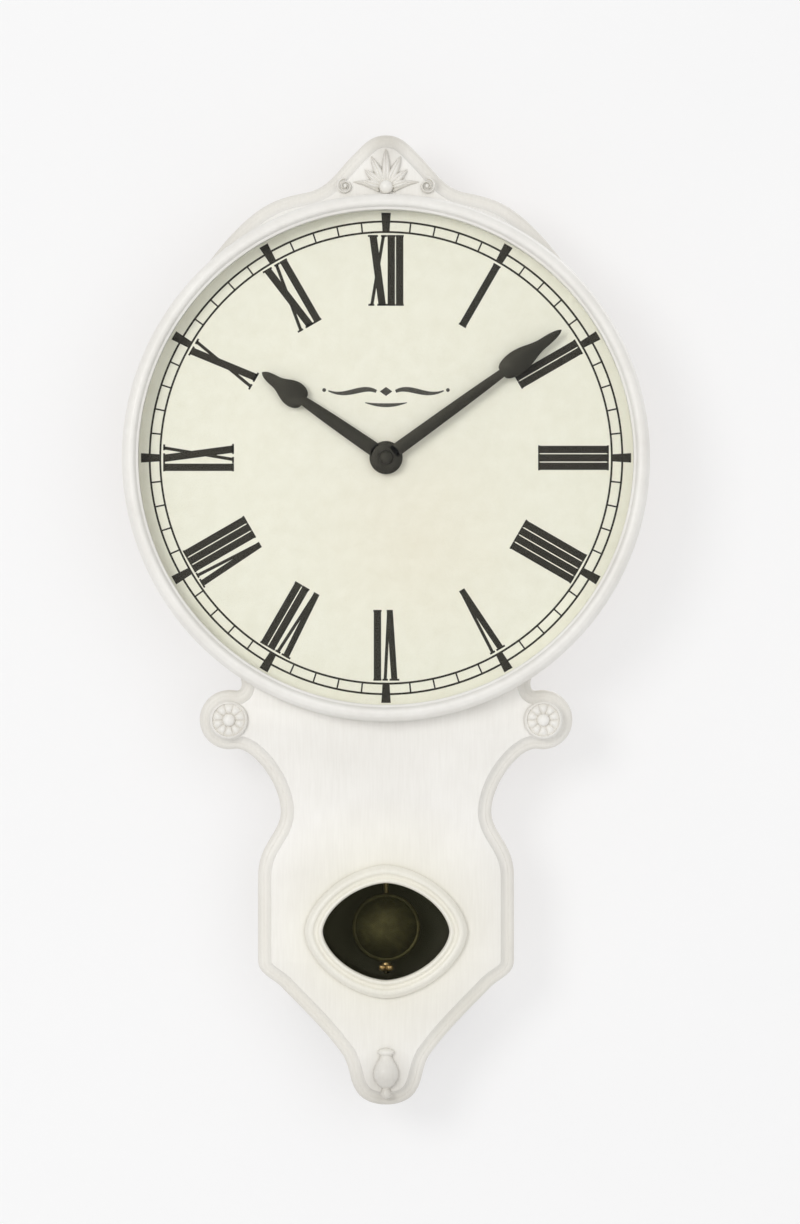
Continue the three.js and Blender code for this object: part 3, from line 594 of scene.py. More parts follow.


# Painted shade darkens the crest's tip and the foot; round the window the tint is a real, warmer ivory tone
SHADE_AND_TONE_SPOTS = (  # places (z, radius, tint) on the crest, at the foot and round the window
    (180, 15, (0.84, 0.83, 0.81)),
    (-361, 24, (0.80, 0.79, 0.77)),
    (WINDOW_Z, 78, (0.985, 0.975, 0.90)),
)
TRUNK_INSIDE = half_width("trunk_bottom") + 0.4  # nearer the middle the trunk's sides are black
WHITE = lacquer("white_lacquer")
WHITE_BLACK_INSIDE = lacquer("white_lacquer_black_inside", black_within=TRUNK_INSIDE)
# Painted shade from hollows on the board's routed edge and in the carvings' low parts
WHITE_BOARD = lacquer("white_lacquer_board", hollows=(BOARD_REAR + 5, BOARD_FRONT - 0.5, 0.86), toned=SHADE_AND_TONE_SPOTS)
WHITE_CARVED = lacquer("white_lacquer_carved", hollows=(SEAT, SEAT + 3.6, 0.84), toned=SHADE_AND_TONE_SPOTS)
WHITE_RING = lacquer("white_enamel_ring", (3, 3, 3), RING_LOW, RING_HIGH)
WHITE_ACROSS = lacquer("white_lacquer_across", grain=(1, 14, 14))
CREAM = dial_paint()
INK = ink()
FAINT_INK = ink("ornament_ink", 0.05)
ENAMEL = black_enamel()
BRASS = metal("brass", (0.42, 0.27, 0.10), (0.66, 0.46, 0.20), 0.24, 0.42, (1, 6, 1))
BRASS_ROD = metal("brass_rod", (0.10, 0.075, 0.03), (0.20, 0.155, 0.065), 0.38, 0.55, (1, 1, 9))
SHADED_AGED_BRASS = aged_brass_with_painted_shade()
STEEL = metal("zinc_steel", (0.42, 0.43, 0.44), (0.66, 0.66, 0.65), 0.28, 0.5, (5, 1, 1))
BRIGHT = metal("nickel", (0.50, 0.49, 0.46), (0.74, 0.72, 0.68), 0.18, 0.32)
IRON = metal("dark_iron", (0.06, 0.06, 0.065), (0.13, 0.13, 0.135), 0.4, 0.6)
PLASTIC = plastic("black_plastic", (0.012, 0.012, 0.013), (0.024, 0.024, 0.025))
NYLON = plastic("natural_nylon", (0.62, 0.58, 0.47), (0.74, 0.71, 0.60), 0.35, 0.5, 0.9)
HARDBOARD = hardboard()
RAW = raw_board()
CARD = black_card()
RUBBER = rubber()
COIL_Z = windings("copper_windings_upright", 0.35, "Z")
COIL_Y = windings("copper_windings_deep", 0.45, "Y")
LAMINATE = laminate()
CELL_SLEEVE = plastic("cell_sleeve", (0.02, 0.02, 0.02), (0.035, 0.035, 0.035), 0.25, 0.35, 2)
CELL_BAND = metal("cell_copper", (0.55, 0.25, 0.10), (0.75, 0.40, 0.20), 0.22, 0.34)
DIAL_GLASS = clear_glass("dial_glass_clear", 1.22)
WINDOW_GLASS = clear_glass("window_glass_bloomed", 1.25, (1, 0.96, 0.55, 1))


def dress(material, *nodes):
    """Gives CAD nodes that keep their own shape a material."""
    for node in nodes:
        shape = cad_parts[node]
        shape.data.materials.clear()
        shape.data.materials.append(material)


# ---- Front board ----
BOARD_R = 148  # hidden behind the bezel
EAR_X, EAR_Z, EAR_R = 90, -150, 17
FOOT_Z = -371
BUSH_HOLE_R = 4.7  # hole in the board and the dial for the movement's threaded bush


def board_outline():
    """The board's outline, clockwise from the crest's peak."""
    crest_side = path(
        (0, 185.5),
        ((9, 185.5), (13, 180), (20, 173), 14),
        ((28, 165), (33, 155), (46, 152.5), 16),
        ((54, 151), (60, 149.5), (66, 146.6), 8),
        ((84, 138), (103.5, 112), (113.37, 95.13), 12),
    )
    neck = bend((89.07, -118.2), (82.5, -123.2), (80.2, -134.5), (87.05, -133.26), 14)
    trunk_side = path(
        (87.05, -166.74),
        ((78, -165.2), (62, -184), (60.5, -201), 20),
        ((59.5, -215), (73.5, -220), (73.5, -240), 20),
        ((73.5, -256), (73.5, -272), (73.5, -288), 6),
        ((73.5, -296), (66, -298), (60.5, -303), 12),
        ((52, -312), (34, -329), (24.5, -343), 14),
        ((20.5, -350), (21, -357), (17.5, -362.5), 10),
        ((14.5, -368), (8, FOOT_Z), (0, FOOT_Z), 10),
    )
    right = (
        crest_side
        + arc(0, 0, BOARD_R, 40, -53, 60)
        + neck
        + arc(EAR_X, EAR_Z, EAR_R, 100, -100, 40)
        + trunk_side
    )
    points = thinned(right, 0.3)
    left = [Vector((-p.x, p.y)) for p in points[1:-1]]
    return points + left[::-1]


def quarter_turn(steps):
    return [radians(90 * k / steps) for k in range(1, steps + 1)]


def board_edge():
    """The routed edge from rear to front: a round-over, a small quirk and a cove up to the face."""
    flat = BOARD_REAR + 5.2
    over, deep = 3.2, 3.6  # width and height of the round-over
    steps = [[0.4, BOARD_REAR], [0, BOARD_REAR + 0.4], [0, flat]]
    steps += [[over * (1 - cos(a)), flat + deep * sin(a)] for a in quarter_turn(8)]
    cove_foot = flat + deep + 0.5
    steps += [[over + 0.4, flat + deep], [over + 0.5, cove_foot]]
    wide, rise = 4.0, BOARD_FRONT - 0.5 - cove_foot
    steps += [[over + 0.5 + wide * sin(a), cove_foot + rise * (1 - cos(a))] for a in quarter_turn(7)]
    steps += [[over + wide + 0.7, BOARD_FRONT - 0.1], [over + wide + 1.0, BOARD_FRONT]]
    return steps


def front_board():
    """The moulded board, lacquered but for its rear face."""
    sight = oval(half_width("window_frame") - 9.5, half_height("window_frame") - 9.5)
    build = slab(board_outline(), board_edge(), [sight, round_outline(BUSH_HOLE_R, 40)])
    made = piece(build, "front_board_moulded", WHITE_BOARD, replaces=["front_board"])
    made.data.materials.append(RAW)
    for face in made.data.polygons:
        if face.normal.y > 0.9:
            face.material_index = 1
    return made


# ---- Carving ----
def leaf(root, tip, wide, high, base, bow=0.0, steps=18, across=10, ridge=0.35):
    """A carved lobe from root to tip: a swelling half-round with a groove down it, flat at depth base."""
    a, b = Vector(root), Vector(tip)
    along = b - a
    side = Vector((along.y, -along.x)).normalized()
    rings = []
    for i in range(steps + 1):
        t = i / steps
        swell = sin(pi * min(1, t * 0.93 + 0.07) ** 0.8) ** 0.75
        centre = a + along * t + side * bow * sin(pi * t)
        half = max(0.05, wide * swell)
        lift = high * swell**0.8 * (0.6 + 0.4 * t)
        ring = []
        for j in range(across + 1):
            u = -1 + 2 * j / across
            crown = sqrt(max(0, 1 - u * u)) * (1 - ridge * max(0, 1 - abs(u) * 2.6) ** 1.5)
            p = centre + side * half * u
            ring.append((p.x, base + max(0.02, lift * crown), p.y))
        p, q = centre + side * half, centre - side * half
        ring += [(p.x, base, p.y), (q.x, base, q.y)]
        rings.append(ring)
    return Build().rings(rings)


def scroll(cx, cz, side, size, base, turns=1.6, steps=54):
    """A volute: a tapering roll that winds in to a button at its eye."""
    rings = []
    for i in range(steps + 1):
        t = i / steps
        a = pi / 2 - side * tau * turns * t
        r = size * (1 - 0.78 * t)
        centre = Vector((cx + r * cos(a), cz + r * sin(a)))
        out = Vector((cos(a), sin(a)))
        half = size * 0.19 * (1 - 0.45 * t)
        ring = []
        for j in range(9):
            b = pi * j / 8
            p = centre + out * half * cos(b)
            ring.append((p.x, base + max(0.02, 2.6 * sin(b) * (1 - 0.2 * t)), p.y))
        p, q = centre - out * half, centre + out * half
        ring += [(p.x, base, p.y), (q.x, base, q.y)]
        rings.append(ring)
    build = Build().rings(rings)
    build.join(lathe([[0, base], [size * 0.24, base], [size * 0.2, base + 2.4], [0, base + 3]], cx, cz, 20))
    return build


def crest():
    """A palmette of seven leaves over a button, with two scrolls and a leaf towards each."""
    base, lobes = SEAT, 7
    root_z = height("crest_carving", 0) + 3.4
    build = Build()
    for k in range(lobes):
        a = radians(90 + (k - (lobes - 1) / 2) * 25)
        reach = 13.5 + 8.5 * sin(a) ** 3
        root = (3.2 * cos(a), root_z + 1.5 + 2.4 * sin(a))
        tip = (reach * 1.02 * cos(a), root_z + 1.5 + reach * sin(a))
        build.join(leaf(root, tip, 2.5, 4.6, base))
    for side in (-1, 1):
        build.join(
            scroll(side * 23.5, root_z + 2.2, side, 4.6, base),
            leaf((side * 4, root_z - 0.6), (side * 19, root_z + 4.6), 1.7, 3, base, side * -1.6),
        )
    button = [[0, base], [4, base], [3.8, base + 3.2], [2.4, base + 4.7], [0, base + 5.1]]
    build.join(lathe(button, 0, root_z + 1.6, 32))
    return piece(build, "crest_palmette", WHITE_CARVED, replaces=["crest_carving"], smooth=50)


PETALS = 10
PETAL_R, BUTTON_R = 9.4, 3.6  # where the rosette's petals end and its button begins


def rosette_lift(r, a, outer):
    """How far the rosette stands off the board at radius r and angle a."""
    if r > PETAL_R:
        return 1.2 + 1.8 * sin(pi * min(1, (outer - r) / (outer - PETAL_R)) * 0.5)
    if r > BUTTON_R:
        t = (PETAL_R - r) / (PETAL_R - BUTTON_R)
        fold = abs(sin(PETALS * a / 2))
        return 1.0 + 2.6 * sin(pi * (0.12 + 0.8 * t)) * (0.35 + 0.65 * fold**0.6) * (0.75 + 0.25 * t)
    return 2.0 + 3.2 * sqrt(max(0, 1 - (r / BUTTON_R) ** 2))


def rosette(name, node):
    """A turned rosette with ten carved petals round a button."""
    cx, cz = place_of(node)
    segments, rows = 120, 30
    outer = half_width(node)
    rings = [[(x, SEAT, z) for x, z in circle(cx, cz, outer, segments)]]
    for i in range(rows + 1):
        r = outer * (1 - i / rows)
        ring = []
        for k, (x, z) in enumerate(circle(cx, cz, max(r, AXIS_R), segments)):
            ring.append((x, SEAT + rosette_lift(r, tau * k / segments, outer), z))
        rings.append(ring)
    return piece(Build().rings(rings), name, WHITE_CARVED, replaces=[node], smooth=45)


def pendant():
    """A half-turned drop with a ball tip, and a bead and collar above."""
    low, high = height("pendant_drop", 0), height("pendant_drop")
    profile = [
        [0, low], [2.4, low + 0.8], [3.3, low + 3], [2.5, low + 5.4], [2.1, low + 6.2], [4.6, low + 8],
        [7.2, low + 12], [7.4, low + 16], [5.6, low + 20.5], [3.8, low + 23.6], [3.2, low + 25],
        [4.9, low + 26.2], [4.9, low + 27.6], [3, high - 0.9], [0, high],
    ]
    rings = []
    for r, z in fillet(profile, 1.6, 4):
        rings.append([(p.x, p.y, z) for p in arc(0, SEAT, max(r, 0.01), 0, 180, 24)])
    return piece(Build().rings(rings), "pendant_turned", WHITE_CARVED, replaces=["pendant_drop"], smooth=50)


# ---- Window ----
def window_moulding():
    """An oval ring: a bead at the sight edge, a cove and a rounded outer lip."""
    wide, tall = half_width("window_frame"), half_height("window_frame")
    top = front("window_frame")
    profile = [  # distance in from the outer edge, depth
        [10.5, SEAT], [0, SEAT], [0, SEAT + 2.4], [1.2, SEAT + 3.4], [2.0, top - 0.9], [3.6, top],
        [5.0, top - 0.7], [5.5, top - 2.0], [7.2, top - 2.5], [8.0, top - 1.0], [9.4, top - 0.5],
        [10.5, top - 1.9],
    ]
    rounded = fillet(profile, 0.9, 3, closed=True)
    rings = [[(p.x, d, p.y) for p in oval(wide - s, tall - s, 128)] for s, d in rounded]
    build = Build().rings(rings, "joined")
    return piece(build, "window_moulding", WHITE_CARVED, replaces=["window_frame"], smooth=50)


def pane(name, node, outline, glass):
    """A flat pane with eased edges, which casts no shadow."""
    near, far = rear(node), front(node)
    build = slab(outline, [[0.5, near], [0, near + 0.4], [0, far - 0.4], [0.5, far]])
    made = piece(build, name, glass, replaces=[node], smooth=20)
    made.visible_shadow = False
    return made


# ---- Bezel and dial ----
def bezel():
    """A turned ring: a base fillet, an ogee rising to a round crown, and a dished lip over the glass."""
    r, top, bore = BEZEL_R, front("bezel_ring"), SIGHT_R
    ledge = front("dial_glass") + 0.3
    profile = [
        [r - 6.7, SEAT], [r, SEAT], [r, SEAT + 3.6], [r - 1.5, SEAT + 4.4], [r - 1.7, SEAT + 6.4],
        [r - 0.9, top - 8.6], [r - 0.9, top - 5.4], [r - 2.6, top - 1.4], [r - 5.2, top],
        [r - 7.2, top - 0.6], [bore + 1.7, top - 2.3], [bore + 1.5, top - 2.9], [bore, top - 3.7],
        [bore, ledge], [r - 6.7, ledge],
    ]
    build = lathe(fillet(profile, 1.1, 3, closed=True), segments=240, closed=True)
    return piece(build, "bezel_turned", WHITE_RING, replaces=["bezel_ring"], smooth=50)


def dial():
    r = half_width("dial_plate")
    near, far = rear("dial_plate"), DIAL_FACE
    profile = [[BUSH_HOLE_R, near], [r, near], [r, far - 0.2], [r - 0.2, far], [BUSH_HOLE_R, far]]
    build = lathe(profile, segments=192, closed=True)
    return piece(build, "dial_printed", CREAM, replaces=["dial_plate"], smooth=20)


def spacer():
    r = half_width("dial_spacer")
    near, far = rear("dial_spacer"), front("dial_spacer")
    profile = fillet([[r - 2, near], [r, near], [r, far], [r - 2, far]], 0.3, 2, closed=True)
    build = lathe(profile, segments=192, closed=True)
    return piece(build, "dial_spacer_ring", WHITE_RING, replaces=["dial_spacer"])


INK_REAR, INK_FRONT = DIAL_FACE + 0.01, DIAL_FACE + 0.07
NUMERAL_TOP, NUMERAL_FOOT = 127.5, 87.0
NUMERAL_H = NUMERAL_TOP - NUMERAL_FOOT
STEM, HAIR = 4.2, 1.8  # widths of thick and thin strokes
PITCH = 4.8  # from one upright stroke to the next
SERIF = 1.1


def bar(x0, z0, x1, z1, width):
    """A stroke from (x0, z0) to (x1, z1), with level ends."""
    h = width / 2 * hypot(x1 - x0, z1 - z0) / abs(z1 - z0)
    return [(x0 - h, z0), (x1 - h, z1), (x1 + h, z1), (x0 + h, z0)]


def foot(x, z, half, up):
    """A serif about x at height z, thicker at its stroke. It grows upwards where up is 1, else downwards."""
    stroke = half - 1.0
    left = [(x - half, z), (x - half, z + up * SERIF)]
    left += [(x - stroke * (1 - t), z + up * SERIF * (1 + 0.8 * t * t)) for t in (0.0, 0.3, 0.6)]
    right = [(2 * x - px, pz) for px, pz in left[::-1]]
    shape = left + right
    return shape if up > 0 else shape[::-1]


def letter(kind):
    """The strokes of one Roman letter about x = 0, from its foot at z = 0 to NUMERAL_H, and its width."""
    top = NUMERAL_H
    if kind == "I":
        half = PITCH / 2 - 0.05
        return [bar(0, 0, 0, top, STEM), foot(0, 0, half, 1), foot(0, top, half, -1)], PITCH
    if kind == "V":
        shapes = [bar(-2.4, top, 0.3, 0, STEM * 0.84), bar(2.9, top, 0.9, 0, HAIR)]
        shapes += [foot(-2.4, top, STEM / 2 + 0.7, -1), foot(2.9, top, 1.6, -1)]
        return shapes, 9.8
    shapes = [bar(-2.7, top, 2.7, 0, STEM), bar(3.4, top, -3.4, 0, HAIR)]
    shapes += [foot(-2.7, top, STEM / 2 + 0.8, -1), foot(2.7, 0, STEM / 2 + 0.8, 1)]
    shapes += [foot(3.6, top, 1.7, -1), foot(-3.6, 0, 1.7, 1)]
    return shapes, 10.8


def numeral(word):
    """A Roman number as outlines about x = 0, with its foot at z = 0."""
    letters = [letter(c) for c in word]
    total = sum(width for _, width in letters)
    x = -total / 2
    out = []
    for shapes, width in letters:
        out += [[(px + x + width / 2, pz) for px, pz in shape] for shape in shapes]
        x += width
    return out


def spun(shape, clockwise, lift=0.0):
    """Points given with +z outwards from the dial's centre, turned clockwise by an angle in degrees."""
    a = radians(clockwise)
    return [(x * cos(a) + (z + lift) * sin(a), (z + lift) * cos(a) - x * sin(a)) for x, z in shape]


NUMBERS = ["XII", "I", "II", "III", "IIII", "V", "VI", "VII", "VIII", "IX", "X", "XI"]


def numerals():
    shapes = []
    for hour, word in enumerate(NUMBERS):
        shapes += [spun(s, hour * 30, NUMERAL_FOOT) for s in numeral(word)]
    build = raised(shapes, INK_REAR, INK_FRONT)
    return piece(build, "dial_numerals", INK, smooth=20)


TRACK_IN, TRACK_OUT, TRACK_LINE = 129.2, 135.2, 1.15  # radii and width of the track's two circles


def minute_track():
    """Two fine circles with a tick for each minute and a bold bar, out past the track, for each hour."""
    build = Build()
    for r in (TRACK_IN, TRACK_OUT):
        inner, outer = r - TRACK_LINE / 2, r + TRACK_LINE / 2
        profile = [[inner, INK_REAR], [outer, INK_REAR], [outer, INK_FRONT], [inner, INK_FRONT]]
        build.join(lathe(profile, segments=240, closed=True))
    tick = [(-0.45, TRACK_IN), (-0.45, TRACK_OUT), (0.45, TRACK_OUT), (0.45, TRACK_IN)]
    hour_bar = [(-2.0, 129), (-2.7, 140.2), (2.7, 140.2), (2.0, 129)]
    shapes = [spun(tick if minute % 5 else hour_bar, minute * 6) for minute in range(60)]
    build.join(raised(shapes, INK_REAR, INK_FRONT + 0.01))
    return piece(build, "dial_minute_track", INK, smooth=20)


def ribbon(points, widths):
    """A flat ribbon along points, as wide at each as widths says."""
    left, right = [], []
    for i, p in enumerate(points):
        a = points[max(0, i - 1)]
        b = points[min(len(points) - 1, i + 1)]
        t = (b - a).normalized()
        n = Vector((-t.y, t.x))
        left.append(tuple(p + n * widths[i] / 2))
        right.append(tuple(p - n * widths[i] / 2))
    return left + right[::-1]


def flourish():
    """A generic ornament under twelve: a lozenge between two long tapering curls, over a short line."""
    z = 38
    shapes = [[(0, z - 2.6), (-3.6, z), (0, z + 2.6), (3.6, z)]]
    for side in (-1, 1):
        curl = bend((side * 5.5, z), (side * 14, z + 4.2), (side * 22, z - 4.4), (side * 33, z + 0.4), 24)
        widths = [0.7 + 2.3 * sin(pi * min(1, 0.15 + k / 24 * 0.85)) for k in range(25)]
        shapes.append(ribbon(curl, widths))
        shapes.append(arc(side * 35.4, z + 0.8, 1.1, 0, 330, 11))
    line = bend((-12, z - 6.4), (-4, z - 8.4), (4, z - 8.4), (12, z - 6.4), 16)
    shapes.append(ribbon(line, [0.4 + 1.8 * sin(pi * k / 16) for k in range(17)]))
    build = raised(shapes, INK_REAR, INK_FRONT)
    return piece(build, "dial_flourish", FAINT_INK, smooth=20)


# ---- Hands ----
HANDS = {"hour_hand": (86, 304.5), "minute_hand": (124, 54.0)}  # length, and angle clockwise from twelve


def spade_outline(length, scale, boss):
    """Half a spade hand's outline from its boss: a broad stem, a heart-shaped swelling and a point."""
    def spot(x, share):
        return x * scale, share * length

    runs = (
        ((4.0, 0.2), (3.7, 0.5), (2.7, 0.66)),  # stem
        ((6.4, 0.658), (8.0, 0.72), (7.4, 0.76)),  # heart
        ((6.6, 0.82), (3.8, 0.84), (3.3, 0.9)),  # waist
        ((2.9, 0.95), (2.0, 0.985), (0, 1)),  # tip
    )
    start = spot(4.2, boss * 0.6 / length)
    return thinned(path(start, *[(*[spot(*p) for p in run], 12) for run in runs]), 0.05)


def hand(name, node, body, scale, boss_r, bore_r):
    """A stamped hand with rolled edges, on a round boss."""
    near, far = rear(node), front(node)
    length, angle = HANDS[node]
    half = spade_outline(length, scale, boss_r)
    outline = [Vector((-p.x, p.y)) for p in half[:-1]] + half[::-1]
    outline = [Vector(p) for p in spun(outline, angle)]
    edge = 0.22
    steps = [[edge, near], [0, near + edge], [0, far - edge], [edge * 0.5, far - 0.05], [edge, far]]
    build = slab(outline, steps)
    boss = fillet([[bore_r, near], [boss_r, near], [boss_r, far], [bore_r, far]], edge, 2, closed=True)
    build.join(lathe(boss, segments=64, closed=True))
    return piece(build, name, ENAMEL, body, [node], 40)


def hand_cap():
    near, far = rear("hand_nut"), front("hand_nut")
    dome = [[0.01, near], [4.2, near], [4.2, near + 0.9], [3.4, far - 0.9], [1.8, far - 0.1], [0.01, far]]
    build = lathe(fillet(dome, 0.5, 4), segments=64)
    return piece(build, "hand_cap", ENAMEL, "minute_train", ["hand_nut"], 50)


# ---- Case and back ----
def case_boards():
    """Box and trunk boards with eased edges, in place of the plain ones."""
    looks = {
        "box_side_left": WHITE, "box_side_right": WHITE, "box_shoulder_left": WHITE_ACROSS,
        "box_shoulder_right": WHITE_ACROSS, "trunk_side_left": WHITE_BLACK_INSIDE,
        "trunk_side_right": WHITE_BLACK_INSIDE, "trunk_bottom": CARD,
    }
    eased = 0.7  # radius of the edges along depth
    cut = eased * 0.35  # chamfers front and back
    for node, look in looks.items():
        left, right = (v.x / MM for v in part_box(node))
        near, far, foot_z, top = rear(node), front(node), height(node, 0), height(node)
        corners = [(left, foot_z), (left, top), (right, top), (right, foot_z)]
        steps = [[cut, near], [0, near + cut], [0, far - cut], [cut, far]]
        build = slab(fillet(corners, eased, 3, closed=True), steps)
        piece(build, node + "_eased", look, replaces=[node], smooth=30)


def plain_nodes():
    """CAD nodes that are shown as they are."""
    dress(WHITE_ACROSS, "box_top_rail")
    dress(CARD, "trunk_lining", "window_retainer")
    dress(HARDBOARD, "back_board")
    dress(STEEL, "hanger_plate")
    dress(RUBBER, "wall_pad_left", "wall_pad_right")
    dress(PLASTIC, "movement_front_shell", "movement_rear_shell", "swing_arm", "setting_knob")
    dress(BRASS, "centre_bush", "dial_washer", "hex_nut")
    dress(LAMINATE, "circuit_board")
    dress(BRIGHT, "quartz_crystal", "battery_contact_plus", "battery_contact_minus", "pendulum_pivot_pin")
    dress(COIL_Z, "motor_coil")
    dress(COIL_Y, "pendulum_coil")
    dress(IRON, "motor_stator", "motor_rotor", "arm_magnet")
    dress(NYLON, "centre_wheel", "third_wheel", "motion_wheel", "hour_wheel")


CROSS_REACH = 0.52  # how far the screws' cross recess reaches, as a share of the head's radius
CROSS_HALF = 0.11  # half its arms' width, as a share of the head's radius
CROSS_DEEP = 0.8  # its depth in millimetres at the middle of the head


def screw(name, node, turn):
    """A domed screw whose head faces the wall, with a cross recess turned by an angle in degrees."""
    x, z = place_of(node)
    head, tip, r = rear(node), front(node), half_width(node)
    segments = 72
    rings = []
    for share in (0.02, 0.06, 0.1, 0.14, 0.22, 0.32, 0.42, 0.47, 0.5, 0.54, 0.7, 0.85, 0.95, 1.0):
        ring = []
        for k, (px, pz) in enumerate(circle(x, z, r * share, segments)):
            a = tau * k / segments - radians(turn)
            off_arm = min(abs(cos(a)), abs(sin(a))) * share
            in_cross = off_arm < CROSS_HALF and share < CROSS_REACH
            sunk = CROSS_DEEP * (1 - share) if in_cross else 0
            ring.append((px, head + 0.55 * share**3 + sunk, pz))
        rings.append(ring)
    shank = r * 0.53
    for q, d in ([r, head + 0.9], [shank, head + 1.3], [shank, tip - 3], [0.05, tip]):
        rings.append([(px, d, pz) for px, pz in circle(x, z, q, segments)])
    return piece(Build().rings(rings), name, STEEL, replaces=[node])


def screws():
    for k in range(1, 5):
        screw(f"back_screw_{k}_driven", f"back_screw_{k}", 31 * k)
    for k in (1, 2):
        screw(f"hanger_screw_{k}_driven", f"hanger_screw_{k}", 17 + 40 * k)


def movement_moulding():
    """Relief on the movement's back: a rim, a collar and an arrow round the knob, and four pin heads."""
    node = "movement_rear_shell"
    half, low, high = half_width(node), height(node, 0), height(node)
    face = rear(node)
    top = face - 0.8

    def rim_line(gap, r):
        edge = half - gap
        corners = [(-edge, low + gap), (-edge, high - gap), (edge, high - gap), (edge, low + gap)]
        return fillet(corners, r, 5, closed=True)

    build = slab(rim_line(0.4, 4.6), [[0.2, top], [0, top + 0.2], [0, face]], [rim_line(1.3, 3.7)])
    knob_x, knob_z = place_of("setting_knob")
    collar = [[7.3, face], [7.6, top + 0.1], [7.8, top], [9.2, top], [9.4, top + 0.1], [9.7, face]]
    build.join(lathe(collar, knob_x, knob_z, 64, closed=True))
    arrow = [1.2] * 16 + [4.0, 3.1, 2.2, 1.2, 0.2]  # widths along its shaft and its head
    sweep = arc(knob_x, knob_z, 12, -20, -160, len(arrow) - 1)
    build.join(raised([ribbon(sweep, arrow)], top, face))
    pin_head = [[0, top - 0.1], [1.6, top], [2.2, top + 0.3], [2.2, face], [0, face]]
    for x in (-24.5, 24.5):
        for z in (low + 6, high - 23):
            build.join(lathe(pin_head, x, z, 32))
    return piece(build, "movement_moulding", PLASTIC)


# ---- Battery ----
def battery():
    """A dry cell with no lettering: a black sleeve, a coppery end band, rolled metal ends and a button."""
    low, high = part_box("battery")
    d, z = mid_depth("battery"), place_of("battery")[1]
    r = half_height("battery")
    x0, x1 = low.x / MM, high.x / MM

    def turned(profile):
        rings = [[(x, pd, pz) for pd, pz in circle(d, z, max(q, 0.01), 64)] for q, x in profile]
        return Build().rings(rings)

    split = x1 - 15
    sleeve = turned([[r - 0.6, x0 + 0.3], [r - 0.1, x0 + 0.5], [r, x0 + 1.1], [r, split - 0.1]])
    band = turned([[r, split], [r, x1 - 2.0], [r - 0.2, x1 - 1.4], [r - 0.8, x1 - 1.1]])
    ends = turned([[0, x0], [r - 1.4, x0], [r - 1.2, x0 + 0.4], [r - 0.8, x0 + 0.45], [0, x0 + 0.5]])
    rolled = [[0, x1 - 1.3], [r - 0.9, x1 - 1.3], [r - 1, x1 - 1.0]]
    button = [[2.7, x1 - 1.0], [2.6, x1 - 0.2], [2.3, x1], [0, x1]]
    ends.join(turned(rolled + button))
    piece(sleeve, "battery_sleeve", CELL_SLEEVE, "battery", ["battery"], 40)
    piece(band, "battery_band", CELL_BAND, "battery", (), 40)
    piece(ends, "battery_ends", BRIGHT, "battery", (), 40)


# ---- Pendulum ----
def pendulum_rod():
    """A brass rod of round wire, with a turned eye and a threaded foot."""
    node = "pendulum_rod"
    top, low = height(node), height(node, 0)
    d = mid_depth(node)
    eye_z = top - 3.8
    wire = fillet([[1.8, d - 1], [3.8, d - 1], [3.8, d + 1], [1.8, d + 1]], 0.6, 4, closed=True)
    build = lathe(wire, 0, eye_z, 48, closed=True)
    thread_top, pitch = low + 16, 0.5
    z = low + 0.5
    profile = [[0, low], [1.1, low], [1.35, z]]  # radius, height
    while z < thread_top:
        profile += [[1.5, z + 0.2], [1.5, z + 0.3], [1.2, z + pitch]]
        z += pitch
    profile += [[1.5, thread_top + 0.6], [1.5, eye_z - 4.4], [1.25, eye_z - 2.6], [0, eye_z - 2.4]]
    build.rings([[(px, pd, z) for px, pd in circle(0, d, max(r, AXIS_R), 24)] for r, z in profile])
    return piece(build, "pendulum_rod_turned", BRASS_ROD, "pendulum", [node], 40)


GROOVE_R = 1.7  # of the groove that the rod lies in, behind the bob's face


def groove_depth(x, rod_d):
    """How far forward of the wall the groove reaches at x."""
    return rod_d + sqrt(GROOVE_R**2 - x * x) if abs(x) < GROOVE_R else 0


def bob():
    """A pressed lenticular bob: a hollow shell with a rolled rim, a shallow groove and a domed middle."""
    node = "bob_shell"
    near, far = rear(node), front(node)
    r = half_width(node)
    dome, lift, skin = r - 2.2, near + 1.6, 0.9
    shares = [k / 14 for k in range(1, 15)]
    crown = [Vector((dome * (1 - t), lift + (far - lift) * sin(pi / 2 * t) ** 0.9)) for t in shares]
    inside = [Vector((p.x, p.y - skin)) for p in crown[::-1]]
    rim = [
        [dome - 0.4, lift - skin], [r - 1.4, near], [r - 0.3, near], [r, near + 0.6],
        [r - 0.4, near + 1.7], [r - 1.6, near + 1.9], [dome, lift],
    ]
    build = lathe(inside + fillet(rim, 0.4, 3) + crown, 0, place_of(node)[1], 128)
    rod_d = mid_depth("pendulum_rod")
    build.verts = [(x, max(d, groove_depth(x, rod_d)), up) for x, d, up in build.verts]
    piece(build, "bob_face", SHADED_AGED_BRASS, "bob", [node], 50)
    dress(SHADED_AGED_BRASS, "bob_back")


def rating_nut():
    """A knurled nut with a plain collar."""
    node = "rating_nut"
    top, low = height(node), height(node, 0)
    d = mid_depth(node)
    teeth, steps = 28, 4
    rows = [  # radius, depth of the knurling, height
        [3.3, 0, low], [3.7, 0, low + 0.35], [4.0, 0.2, low + 0.8], [4.0, 0.2, low + 3.0],
        [3.6, 0, low + 3.5], [2.9, 0, low + 3.9], [2.8, 0, top - 0.2], [2.6, 0, top], [1.8, 0, top],
        [1.8, 0, low],
    ]
    rings = []
    for r, cut, z in rows:
        ring = []
        for k in range(teeth * steps):
            a = tau * k / (teeth * steps)
            q = r + cut * sin(teeth * a)
            ring.append((q * cos(a), d + q * sin(a), z))
        rings.append(ring)
    return piece(Build().rings(rings, "joined"), "rating_nut_knurled", BRASS, "rating_nut", [node], 40)


# ---- Studio ----
FLOOR_Z = -1.1


def sheet(name, corners, material):
    """A flat sheet between four corners in metres."""
    mesh = bpy.data.meshes.new(name)
    mesh.from_pydata(corners, [], [(0, 1, 2, 3)])
    mesh.materials.append(material)
    return linked(name, mesh)


